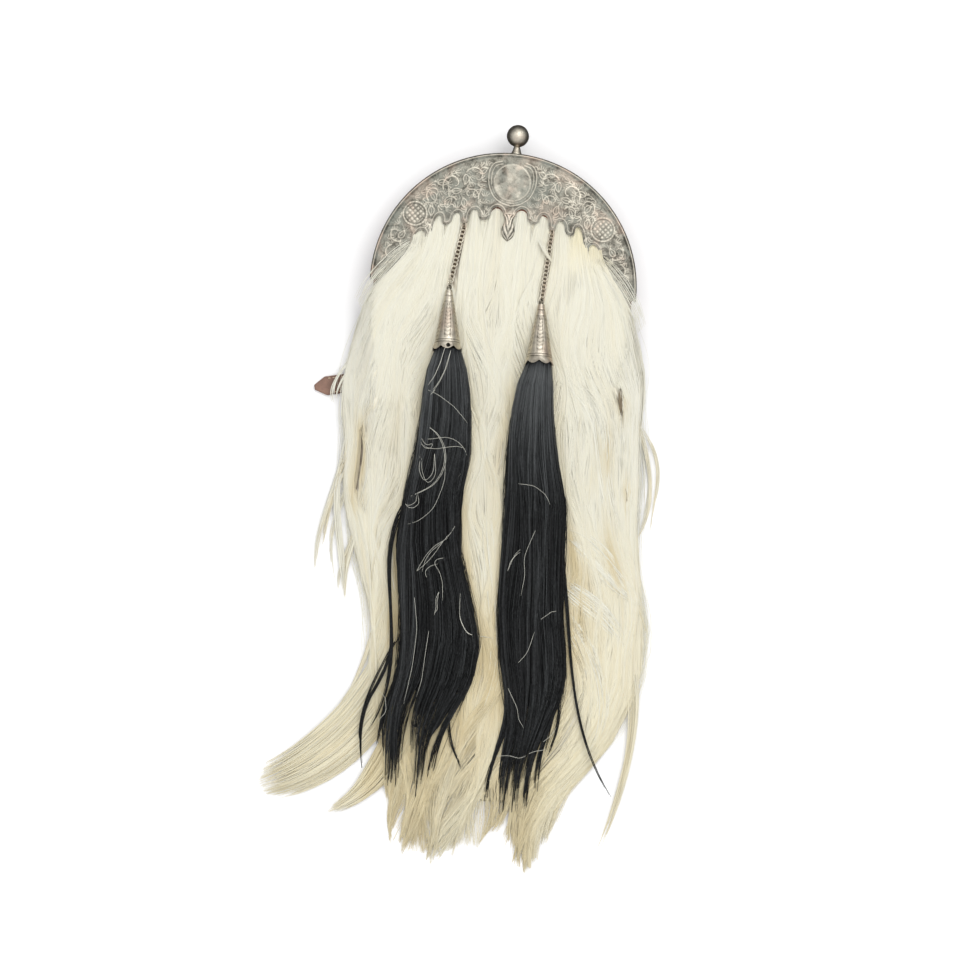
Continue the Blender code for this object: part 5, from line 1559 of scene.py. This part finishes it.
def add_white_hairs(name, paths, depth, rng, thick=HAIR_THICK, brown=0.0, pale=0.0, flat=HAIR_FLAT):
    """A piece of white hairs along their paths, with the shares of straw and of painted shade in their
    colour.
    """
    column = (len(paths), 1)
    part = np.linspace(0, 1, paths.shape[1])
    taper = 1 + 0.25 * part - 0.85 * smooth_step(part, 0.8, 1.0)
    size = rng.uniform(*thick, column) * ((0.4 + 0.6 * smooth_step(part, 0.0, 0.1)) * taper)
    x, y, _ = np.moveaxis(paths, 2, 0)
    straw = straw_share(x, y) * (1 - pale) + rng.normal(0, 0.07, column)
    # Painted shade on the white hair beside the black tassels, stronger lower down.
    shade_beside_black = (0.15 + 0.3 * smooth_step(-y, 150.0, 260.0)) * shade_by_tassels(x, y)
    shade = np.clip(depth + 0.7 * slit_shade(x, y) + shade_beside_black, 0.0, 0.95)
    mesh = hairs(name, paths, size, flat, depth=shade, straw=straw, brown=np.clip(brown, 0.0, 1.0))
    add_piece(name, mesh, WHITE_HAIR, "white_hair", crisp=HAIR_CRISP)


def build_white_bed(top, under, waves):
    """The thick of the hair: one closed sheet under the single hairs, tucked behind the plate."""
    shares = np.linspace(0.025, 0.975, 96)
    part = np.linspace(0.0, 1.0, 64)[:, None]
    start = np.interp(shares, TUFT_SHARES, TUFT_Y) + 4.0
    end = np.interp(shares, END_SHARES, END_Y) + 46.0
    y = start + (end - start) * part
    steer = smooth_step((start - y) / (start - GATHER_Y), 0.0, 1.0)
    x = np.interp(shares, TUFT_SHARES, TUFT_X) * (1 - steer) + FLOW(shares, y) * steer + waves(shares, y)
    tucked = TUCKED_Z - 0.5
    front = tucked + (top(x, y) - 0.2 - tucked) * smooth_step(start - y, 2.0, 16.0)
    front = np.maximum(front, over_pouch(x, y) - 0.3)
    back = np.maximum(np.minimum(under(x, y) + 0.6, front - 0.9), 0.2)
    front = back + (front - back) * (1 - 0.75 * smooth_step(part, 0.85, 1.0))
    points = np.concatenate([joined(x, y, front), joined(x, y, back)[:, ::-1]], axis=1)
    across = np.concatenate([shares, shares[::-1]])
    x, y, _ = np.moveaxis(points, 2, 0)
    # Brown where the hide shows, and painted dark shade in the chains' grooves.
    brown = hide_and_groove_shade(x, y)
    return woven("hair_bed", points, around=True, ends=True, across=across, down=-y / 60.0, brown=brown)


def hair_tip_paths(top, waves, rng):
    """Short fine hairs that fill out the ends of the long ones, drawn together in wisps."""
    column = (TIP_HAIRS, 1)
    centres = np.sort(rng.uniform(0.1, 0.98, TIP_CLUMPS))
    wisp = rng.integers(0, TIP_CLUMPS, column)
    share = centres[wisp] + rng.normal(0, 0.008, column)
    end = np.interp(share, END_SHARES, END_Y) + rng.uniform(-5, 6, TIP_CLUMPS)[wisp]
    end = end + 26 * rng.random(column) ** 2
    start = end + rng.uniform(50, 110, column)
    part = np.linspace(0.0, 1.0, TIP_RINGS)
    y = start + (end - start) * part
    share = share + (centres[wisp] - share) * 0.3 * part**2
    share = np.clip(share + rng.normal(0, 0.005, column) * np.sin(3 * part), 0.0, 1.0)
    x = FLOW(share, y) + waves(share, y)
    z = np.maximum(top(x, y) + rng.uniform(-0.6, 1.1, column) - 1.2 * part, 0.5)
    return joined(x, y, z)


def leg_hair_paths(rng):
    """Loose hairs that lie over the lower end of each leg."""
    part = np.linspace(0.0, 1.0, LOCK_RINGS)
    paths = []
    for side in (1.0, -1.0):
        for _ in range(LEG_HAIRS):
            line = LEG_RUN + rng.uniform(0.0, 1.0) ** 1.6 * LEG_SPREAD
            x, y = (smooth_through(line[:, i], part) for i in (0, 1))
            x = x + rng.normal(0, 0.9) * np.sin(4 * part + rng.uniform(0, 3))
            z = 30.2 + 2.4 * smooth_step(part, 0.0, 0.3) - 5.0 * smooth_step(part, 0.8, 1.0)
            paths.append(joined(side * x, y, z + rng.uniform(-0.3, 0.4)))
    return np.stack(paths)


def laid(locks, top, rng, lift, layers):
    """The paths of locks on the front's hair, a group for each lock."""
    return [lock_paths(lock, LOCK_RINGS, rng, top, lift, layers) for lock in locks]


def edge_hair_paths(top, rng):
    """Fine hairs that fly off both edges of the front."""
    column = (EDGE_HAIRS, 1)
    part = np.linspace(0.0, 1.0, LOCK_RINGS)
    at_left = rng.random(column) < 0.5
    start = rng.uniform(-250.0, 24.0, column)
    end = start - rng.uniform(50.0, 130.0, column)
    y = start + (end - start) * part
    share = np.where(at_left, rng.uniform(0.0, 0.05, column), rng.uniform(0.95, 1.0, column))
    off = rng.uniform(1.0, 7.0, column) * np.sin(part * rng.uniform(1.4, 3.0, column)) ** 2
    x = FLOW(share, y) + np.where(at_left, -1.0, 1.0) * off
    return joined(x, y, top(x, y) * rng.uniform(0.4, 1.0, column) + 1.0)


# --- Leather and finial -----------------------------------------------------------------------------------

POUCH_BACK = 9.0
POUCH_FRONT = 27.0
LEATHER = 2.0
POUCH_RADIUS = 98.4
POUCH_POINTS = 240
# The lower half of the pouch's outline, right side from its top.
POUCH_SIDE = [
    (98.4, 0.0), (97.4, -14.0), (94.0, -38.0), (87.0, -62.0),
    (73.0, -81.0), (52.0, -91.5), (27.0, -95.5), (0.0, -97.0),
]
# The pouch's outside and inside from back to front: the share of its depth, and how far in a ring lies.
POUCH_OUTSIDE = [
    (0.0, 60.0), (0.0, 12.0), (0.0, 4.6), (0.02, 2.6), (0.075, 1.2), (0.12, 1.5), (0.16, 2.2),
    (0.21, 1.4), (0.32, 0.8), (0.46, 0.6), (0.60, 1.0), (0.70, 1.8), (0.74, 2.6), (0.80, 1.9),
    (0.85, 2.4), (0.885, 4.6), (0.91, 8.5), (0.95, 22.0), (0.985, 42.0), (1.0, 60.0),
]
POUCH_INSIDE = [(0.0, 60.0), (0.0, 4.0), (0.08, 1.6), (0.455, 0.8), (0.82, 2.6), (0.91, 6.7), (1.0, 60.0)]
MOUTH_SIZE = (156.0, 90.0, 5.4)
MOUTH_PLACE = (0.0, 75.0, 13.75)

LOOP_X = 45.0
LOOP_Y = 40.0
LOOP_LONG = 34.0
LOOP_WIDE = 15.0
LOOP_HEIGHT = 8.7
LOOP_BEVEL = 0.5

STRAP_TIP = (-135.5, -86.8)
STRAP_TURN = math.radians(12.6)
STRAP_LONG = 88.0
STRAP_WIDE = 14.2
STRAP_THICK = 2.5
# Distance along the strap and the height of its underside.
STRAP_RISE = [(0.0, 0.0), (24.0, 0.2), (38.0, 2.6), (50.0, 6.2), (STRAP_LONG, 6.2)]
# Round the strap: the place across in half widths, and the height above its underside.
STRAP_SECTION = [
    (-1, 0.5), (-0.96, 0.1), (-0.5, 0.0), (0.5, 0.0), (0.96, 0.1), (1, 0.5), (1, 2.0),
    (0.96, 2.4), (0.7, 2.5), (0, 2.5), (-0.7, 2.5), (-0.96, 2.4), (-1, 2.0),
]

STITCH_LONG = 2.2
STITCH_HALF = 0.42
POUCH_STITCH_STEP = 4.2
POUCH_STITCH_IN = 8.0
STRAP_STITCH_STEP = 3.4
STRAP_STITCH_OFF = 5.4

FINIAL_X = 1.3
FINIAL_Z = 24.0
FINIAL_WEAR = 0.5
BALL_RADIUS = 8.35
BALL_Y = 113.7
DENTS = 9
DENT_DEEP = 0.16
DENT_WIDE = 0.28
DENT_SEED = 8

# The leather in the arches: where each lip starts and ends across, its foot and its peak.
LIPS = [(-13.9, -4.4, 52.8, 58.8), (4.4, 13.9, 52.8, 58.8), (22.6, 29.9, 50.5, 55.8)]
LIP_BACK = 28.2
LIP_FRONT = 29.5


def pouch_outline():
    """The pouch's outline, anticlockwise from the right end of its round top."""
    turn = np.linspace(0.0, math.pi, 90)
    top = POUCH_RADIUS * joined(np.cos(turn), np.sin(turn))
    side = softened(evenly(np.array(POUCH_SIDE), 60), 14)
    loop = np.concatenate([top, side[1:] * (-1, 1), side[-2:0:-1], top[:1]])
    return evenly(loop, POUCH_POINTS + 1)[:-1]


def pouch_shell(name, skin, rings):
    """A closed shell, skin further in than the outside of the pouch."""
    outline = pouch_outline()
    deep = POUCH_FRONT - POUCH_BACK - 2 * skin
    rows = []
    for level, inset in rings:
        x, y = drawn_in(outline, inset + skin).T
        rows.append(joined(x, y, POUCH_BACK + skin + deep * level))
    return woven(name, np.stack(rows), around=True, ends=True)


def build_pouch(name):
    """A hollow pouch with two piped seams round its gusset and a mouth in its round top."""
    inside = pouch_shell("pouch_inside", LEATHER, POUCH_INSIDE)
    mesh = cut(name, pouch_shell("pouch_outside", 0.0, POUCH_OUTSIDE), inside)
    bm = bmesh.new()
    bmesh.ops.create_cube(bm, size=1.0)
    bmesh.ops.scale(bm, vec=MOUTH_SIZE, verts=bm.verts)
    bmesh.ops.translate(bm, vec=MOUTH_PLACE, verts=bm.verts)
    return cut(name, mesh, mesh_of(bm, "mouth"))


def stitches(name, places, turns):
    """Short round stitches at places, turned about Z."""
    bm = bmesh.new()
    bmesh.ops.create_uvsphere(bm, u_segments=6, v_segments=5, radius=1.0)
    bmesh.ops.scale(bm, vec=(STITCH_LONG / 2, STITCH_HALF, STITCH_HALF), verts=bm.verts)
    x, y, z = axes_of(bm.verts)
    mesh = copies(name, bm, len(places))
    cos = np.cos(turns)[:, None]
    sin = np.sin(turns)[:, None]
    set_places(mesh, joined(x * cos - y * sin, x * sin + y * cos, z) + places[:, None])
    return mesh


def seam(outline, step, height):
    """Places and turns of stitches along a closed outline."""
    loop = np.concatenate([outline, outline[:1]])
    length = np.linalg.norm(np.diff(loop, axis=0), axis=1).sum()
    points = evenly(loop, int(length / step) + 1)[:-1]
    along = np.roll(points, -1, axis=0) - np.roll(points, 1, axis=0)
    return joined(*points.T, height), np.arctan2(along[:, 1], along[:, 0])


def rounded_ring(half_long, half_high, radius):
    """The outline of a rounded rectangle."""
    steps = 9
    points = []
    for corner, (sx, sy) in enumerate(((1, 1), (-1, 1), (-1, -1), (1, -1))):
        turn = math.pi / 2 * (corner + np.arange(steps + 1) / steps)
        middle = (sx * (half_long - radius), sy * (half_high - radius))
        points.append(middle + radius * joined(np.cos(turn), np.sin(turn)))
    return np.concatenate(points)


def build_loop(name, x):
    """A flat leather band, closed on itself, with rounded edges."""
    outer = rounded_ring(LOOP_LONG / 2, LOOP_HEIGHT / 2, 3.4)
    inner = rounded_ring(LOOP_LONG / 2 - LEATHER, LOOP_HEIGHT / 2 - LEATHER, 1.6)
    half = LOOP_WIDE / 2
    flat = half - LOOP_BEVEL
    # Round the band's section, from its outside to its inside and back.
    section = [
        (0, -flat), (0.12, -half), (0.88, -half), (1, -flat), (1, 0), (1, flat),
        (0.88, half), (0.12, half), (0, flat), (0, 0), (0, -flat),
    ]
    rows = []
    for mix, across in section:
        y, z = (outer * (1 - mix) + inner * mix).T
        rows.append(joined(x + across, LOOP_Y + y, LOOP_HEIGHT / 2 + z))
    return woven(name, np.stack(rows), around=True)


def strap_place(along, across, height):
    """Places on the strap: so far along it, across it and above its underside."""
    cos = math.cos(STRAP_TURN)
    sin = math.sin(STRAP_TURN)
    low = np.interp(along, *np.transpose(STRAP_RISE))
    x = STRAP_TIP[0] + cos * along - sin * across
    y = STRAP_TIP[1] + sin * along + cos * across
    return joined(x, y, low + height)


def build_strap(name):
    """A flat strap end with rounded edges, which narrows to its tip."""
    along = np.concatenate([np.linspace(0.0, 9.0, 10), np.linspace(10.5, STRAP_LONG, 46)])
    half = np.interp(along, [0.0, 8.5], [1.8, STRAP_WIDE / 2])
    section = [strap_place(along, half * across, height) for across, height in STRAP_SECTION]
    return woven(name, np.stack(section, axis=1), around=True, ends=True)


def build_finial(name):
    """A stem that flares at its foot and a ball with a few soft dents, spun and laid along +Y."""
    foot = CANTLE_RADIUS + 0.3
    reach = BALL_Y - 8.1 - foot
    stem = [(0.0, 0.0), (3.9, 0.0), (3.9, 0.5), (3.5, 1.2), (3.1, 2.4), (2.7, 3.8)]
    stem += [(2.3, reach - 0.4), (2.1, reach)]
    angles = np.linspace(0.235, math.pi, 34)[:-1]
    high = BALL_Y - foot
    ball = [(BALL_RADIUS * math.sin(angle), high - BALL_RADIUS * math.cos(angle)) for angle in angles]
    ball.append((0.0, high + BALL_RADIUS))
    bm = bmesh.new()
    line, edges = profile_line(bm, stem + ball)
    spin(bm, line + edges, 56)
    bmesh.ops.remove_doubles(bm, verts=bm.verts, dist=1e-4)
    lie = Matrix.Translation((FINIAL_X, foot, FINIAL_Z)) @ Matrix.Rotation(math.radians(-90), 4, "X")
    bmesh.ops.transform(bm, matrix=lie, verts=bm.verts)
    centre = Vector((FINIAL_X, BALL_Y, FINIAL_Z))
    rng = np.random.default_rng(DENT_SEED)
    spots = [Vector(rng.normal(0, 1, 3)).normalized() for _ in range(DENTS)]
    for vert in bm.verts:
        out = vert.co - centre
        if vert.co.y > BALL_Y - 8.0:
            near = sum(math.exp(-((out.angle(spot) / DENT_WIDE) ** 2)) for spot in spots)
            vert.co -= out.normalized() * near * DENT_DEEP
    mesh = mesh_of(bm, name)
    set_relief(mesh, FINIAL_WEAR)
    return mesh


def build_lips(name):
    """Edges of the pouch's leather that show inside three arches of the cantle."""
    bm = bmesh.new()
    for x0, x1, foot, peak in LIPS:
        turn = math.pi * np.linspace(0.08, 0.92, 24)
        x = x0 + (x1 - x0) * (1 - np.cos(turn)) / 2
        arch = foot + (peak - foot) * np.sin(turn)
        high = arch + 1.2
        low = arch - 1.1 * np.sin(turn)
        corners = ((high, LIP_BACK), (high, LIP_FRONT), (low, LIP_FRONT), (low, LIP_BACK))
        lip = woven("lip", np.stack([joined(x, y, z) for y, z in corners], axis=1), around=True, ends=True)
        bm.from_mesh(lip)
        bpy.data.meshes.remove(lip)
    return mesh_of(bm, name)


# --- Stray hairs ------------------------------------------------------------------------------------------

# Loose white hairs over the black tassels, as lines of places.
STRAYS = [
    [(-51.5, -81.5), (-42, -83.2), (-31.2, -90.2), (-24.7, -98.3), (-17.4, -107.1)],
    [(-52.2, -106.8), (-39.5, -111.5), (-32.9, -120.7), (-30.3, -130.7), (-32.4, -142.4), (-38.7, -153.1),
     (-60, -166.3)],
    [(-52.5, -119.6), (-41.7, -118.9), (-33.3, -116.4), (-24.3, -119.3), (-18, -125.2), (-15.2, -132.2),
     (-20.8, -143.6)],
    [(-52.1, -116.6), (-44.4, -121.8), (-38.9, -118.4), (-40.5, -124.3), (-46.9, -125.6), (-51.7, -120.9)],
    [(-51.6, -122.4), (-46.8, -127.8), (-40.1, -129.1), (-31, -125.7), (-24.1, -122.1), (-15.2, -121.4)],
    [(-40.1, -129.3), (-38.2, -145.8), (-44.5, -153.6), (-49.8, -142.5), (-49.4, -130.9), (-52.6, -127.5)],
    [(-32.4, -126.5), (-30.5, -148), (-37.2, -170.4), (-50.6, -183.1), (-56.4, -182.5), (-61.6, -186.7)],
    [(-20.3, -181.9), (-23.9, -190.9), (-30.4, -198.7), (-37.2, -203.7), (-41, -209.8), (-41.9, -216.4)],
    [(-26.8, -206.4), (-33.2, -208.4), (-34.3, -212.1), (-30.3, -216.1), (-26.7, -224.4), (-24.8, -237.9)],
    [(-60, -166.3), (-57.5, -170.7), (-53.1, -171), (-49.1, -167), (-50.5, -159.9)],
    [(-39, -50), (-40.5, -62), (-44, -72), (-50, -80)],
    [(-34.5, -52), (-36, -66), (-40, -76), (-46.5, -84.5)],
    [(-43.5, -81.9), (-45, -84), (-46.8, -85.8)],
    [(-46, -218), (-40, -208), (-33, -198), (-25, -190)],
    [(-38, -222), (-37, -216), (-34, -213), (-30, -212)],
    [(-28, -232), (-29, -238), (-28, -244), (-30, -250)],
    [(-46, -238), (-41, -262), (-42, -290), (-47, -318)],
    [(-12, -232), (-11, -250), (-4, -262), (16, -264)],
    [(-68, -310), (-60, -316), (-58, -326), (-66, -334)],
    [(-33, -262), (-34, -280), (-35, -300), (-38, -312)],
    [(24, -146), (34, -146), (43, -152), (49, -160)],
    [(22, -212), (23, -204), (27, -198), (30, -196)],
    [(50, -246), (54, -244), (58, -240), (62, -238)],
    [(36, -280), (41, -272), (44, -262), (46, -256)],
    [(26, -352), (34, -350), (42, -352), (48, -350)],
    [(50, -348), (54, -346), (58, -345), (62, -343)],
    [(60, -338), (64, -334), (67, -331), (69, -327)],
    [(40, -180), (36, -200), (38, -214), (34, -230)],
    [(30, -300), (36, -312), (38, -322), (44, -330)],
]
STRAY_RADIUS = 0.17
STRAY_RINGS = 26
STRAY_SEED = 21


def build_strays(name, tops):
    """Long loose white hairs that have strayed over the black tassels. Some lie double."""
    part = np.linspace(0, 1, STRAY_RINGS)
    rng = np.random.default_rng(STRAY_SEED)
    paths = []
    for stray in STRAYS:
        for _ in range(1 + (rng.random() < 0.25)):
            line = evenly(softened(evenly(np.array(stray), 60), 26), STRAY_RINGS)
            x = line[:, 0] + rng.normal(0, 1.5) * np.sin(3 * part)
            y = line[:, 1] + rng.normal(0, 1.5) * np.sin(4 * part)
            z = np.maximum.reduce([top(x, y) for top in tops]) + 1.1 + 0.8 * np.sin(math.pi * part)
            for _ in range(3):
                z[1:-1] = (z[:-2] + z[1:-1] + z[2:]) / 3
            paths.append(joined(x, y, z))
    paths = np.stack(paths)
    thick = STRAY_RADIUS * (1 - 0.5 * smooth_step(part, 0.8, 1.0))
    return hairs(name, paths, np.tile(thick, (len(paths), 1)), depth=0.0, straw=0.0, brown=0.0)


# --- Building ---------------------------------------------------------------------------------------------

WAVE_SEED = 11
LONG_SEED = 3
LOCK_SEED = 77
# The three parts that the long hairs are made in, each under 200,000 triangles, with their seeds.
LONG_PARTS = [("left", 40), ("middle", 41), ("right", 42)]
# Above these angles in degrees an edge of the metal shows as an edge.
FACE_CRISP = 60.0
RIM_CRISP = 25.0
BALL_CRISP = 40.0
CONE_CRISP = 50.0
TASSEL_SEEDS = {"left": 61, "right": 62}
# How far each kind of lock lies above the hair, and how deep its hairs lie in each other.
FOOT_LAY = (0.6, 1.6)
SWEEP_LAY = (1.0, 1.3)
STRAND_LAY = (5.2, 0.6)
BROWN_LAY = (0.9, 1.0)
# How thin and how thick the hairs of each kind are.
SWEEP_THICK = (0.26, 0.42)
EDGE_THICK = (0.09, 0.16)
TIP_THICK = (0.16, 0.26)

hangings = {side: Hanging(values) for side, values in SIDES.items()}

add_piece("cantle_chased", build_face(), CANTLE_SILVER, "cantle_silver", "cantle", crisp=FACE_CRISP)
add_piece("cantle_rim", build_rim(), BORDER_SILVER, "cantle_silver", crisp=RIM_CRISP)
add_piece("pendant_leaf", build_pendant(), CANTLE_SILVER, "cantle_silver")
add_piece("chain_eyes", build_eyes("chain_eyes", hangings.values()), CHAIN_SILVER, "cantle_silver")
ball = build_finial("finial_ball")
add_piece("finial_ball", ball, CANTLE_SILVER, "cantle_silver", "finial", crisp=BALL_CRISP)

for side, hole in (("left", HOLE), ("right", None)):
    name = "chain_links_" + side
    add_piece(name, build_chain(name, hangings[side]), CHAIN_SILVER, "chain_silver", "chain_" + side)
    name = "cone_engraved_" + side
    mesh = build_cone(name, hangings[side], hole)
    add_piece(name, mesh, CONE_SILVER, "cone_silver", "cone_" + side, crisp=CONE_CRISP)

top_of_hair = surface_of("hair_apron")
tassel_tops = [surface_of("tassel_" + side) for side in SIDES]
waves = sway(np.random.default_rng(WAVE_SEED))

bed = build_white_bed(top_of_hair, surface_of("hair_apron", from_above=False), waves)
add_piece("hair_bed", bed, WHITE_BED, "white_hair", "hair_apron")
long_paths, long_shade = white_hair_paths(top_of_hair, waves, np.random.default_rng(LONG_SEED))
order = np.argsort(long_paths[:, HAIR_RINGS // 2, 0])
for (label, seed), chosen in zip(LONG_PARTS, np.split(order, len(LONG_PARTS))):
    rng = np.random.default_rng(seed)
    add_white_hairs("hair_long_" + label, long_paths[chosen], long_shade[chosen], rng)

rng = np.random.default_rng(LOCK_SEED)
foot_paths = np.concatenate(laid(FOOT_LOCKS, top_of_hair, rng, *FOOT_LAY))
add_white_hairs("hair_locks", foot_paths, rng.beta(1.2, 2.2, (len(foot_paths), 1)) * 0.75, rng)
sweep_groups = laid(SWEEPS, top_of_hair, rng, *SWEEP_LAY)
sweep_groups += laid([CHAIN_STRANDS], top_of_hair, rng, *STRAND_LAY)
brown_groups = laid(BROWN_LOCKS, top_of_hair, rng, *BROWN_LAY)
browned = [0.0] * sum(map(len, sweep_groups))
browned += [0.38] * len(brown_groups[0]) + [0.8] * sum(map(len, brown_groups[1:]))
browned = np.array(browned)[:, None]
browned = browned * rng.uniform(0.5, 1.0, browned.shape)
sweep_paths = np.concatenate(sweep_groups + brown_groups)
sweep_shade = rng.beta(1.1, 3.0, (len(sweep_paths), 1)) * 0.25
add_white_hairs("hair_sweeps", sweep_paths, sweep_shade, rng, SWEEP_THICK, browned, pale=0.7, flat=0.5)
edge_paths = np.concatenate([edge_hair_paths(top_of_hair, rng), leg_hair_paths(rng)])
add_white_hairs("hair_edges", edge_paths, 0.0, rng, EDGE_THICK)
tip_paths = hair_tip_paths(top_of_hair, waves, rng)
add_white_hairs("hair_tips", tip_paths, rng.beta(1.2, 2.0, (TIP_HAIRS, 1)) * 0.7, rng, TIP_THICK)

for side, seed in TASSEL_SEEDS.items():
    name = "tassel_bed_" + side
    add_piece(name, build_tassel_bed(name, side), BLACK_BED, "black_hair", "tassel_" + side)
    name = "tassel_hairs_" + side
    add_piece(name, build_tassel_hairs(name, side, seed), BLACK_HAIR, "black_hair")

strays = build_strays("stray_hairs", [top_of_hair, *tassel_tops])
add_piece("stray_hairs", strays, WHITE_HAIR, "white_hair")

add_piece("pouch_shell", build_pouch("pouch_shell"), POUCH_LEATHER, "pouch_leather", "pouch")
add_piece("leather_lips", build_lips("leather_lips"), POUCH_LEATHER, "pouch_leather")
for side, x in (("left", -LOOP_X), ("right", LOOP_X)):
    name = "belt_loop_band_" + side
    add_piece(name, build_loop(name, x), POUCH_LEATHER, "pouch_leather", "belt_loop_" + side)
add_piece("strap_end", build_strap("strap_end"), STRAP_LEATHER, "strap_leather", "strap")

pouch_seam = drawn_in(pouch_outline(), POUCH_STITCH_IN)
places, turns = seam(pouch_seam, POUCH_STITCH_STEP, POUCH_BACK - 0.05)
along = np.arange(12.0, 86.0, STRAP_STITCH_STEP)
for across in (-STRAP_STITCH_OFF, STRAP_STITCH_OFF):
    places = np.concatenate([places, strap_place(along, across, STRAP_THICK)])
    turns = np.concatenate([turns, np.full(len(along), STRAP_TURN)])
add_piece("stitches", stitches("stitches", places, turns), THREAD, "pouch_leather")

# --- Floor, light and camera ------------------------------------------------------------------------------

FLOOR_HALF = 4.0
floor_bm = bmesh.new()
bmesh.ops.create_grid(floor_bm, x_segments=1, y_segments=1, size=FLOOR_HALF)
floor = linked("floor", mesh_of(floor_bm, "floor"))
floor_finish = Finish("pale_floor", Roughness=0.9, Specular_IOR_Level=0.1, Base_Color=FLOOR_WHITE)
floor.data.materials.append(floor_finish.material)
# The silver mirrors the dark foot of the room and not the floor.
floor.visible_glossy = False

# A soft white room, dark at its foot and brighter overhead than at its walls.
FOOT_LIGHT = 0.05
WALL_LIGHT = 0.30
CEILING_LIGHT = 1.21
world = bpy.data.worlds.new("soft_room")
world.use_nodes = True
background = world.node_tree.nodes["Background"]
background.inputs["Color"].default_value = (1.0, 1.0, 1.0, 1.0)
room = Nodes(world.node_tree)
direction = room.add("TexCoord", {}, {}, "Generated")
height = room.add("SeparateXYZ", {}, {0: direction}, "Z")
strength = height.clear_of(-0.05, 0.08, FOOT_LIGHT, WALL_LIGHT)
strength = strength + height.clear_of(0.08, 0.85, 0.0, CEILING_LIGHT - WALL_LIGHT)
world.node_tree.links.new(strength.out, background.inputs["Strength"])
bpy.context.scene.world = world
bpy.context.scene.view_settings.view_transform = "Standard"

# One large softbox, high beyond the ball, aimed at the middle of the sporran.
KEY_PLACE = Vector((0.45, 0.85, 1.65))
key_light = bpy.data.lights.new("key", "AREA")
key_light.shape = "SQUARE"
key_light.size = 1.3
key_light.energy = 12.5
key = linked("key", key_light)
key.location = KEY_PLACE
key.rotation_euler = (-KEY_PLACE).to_track_quat("-Z", "Y").to_euler()

# The camera looks straight down on the sporran, which lies 5 degrees off the picture's upright.
PICTURE_WIDE = 0.720
LENS = 120.0
SENSOR = 36.0
VIEW_CENTRE = (-4.6, -145.8)
VIEW_HEIGHT = 25.0
PICTURE_TURN = math.radians(5)
camera_data = bpy.data.cameras.new("camera")
camera_data.lens = LENS
camera_data.sensor_width = SENSOR
camera_data.clip_end = 20.0
camera = linked("camera", camera_data)
camera_high = PICTURE_WIDE * LENS / SENSOR
camera.location = TO_FRAME @ Vector((*VIEW_CENTRE, VIEW_HEIGHT)) + Vector((0.0, 0.0, camera_high))
camera.rotation_euler = (0.0, 0.0, PICTURE_TURN)
bpy.context.scene.camera = camera
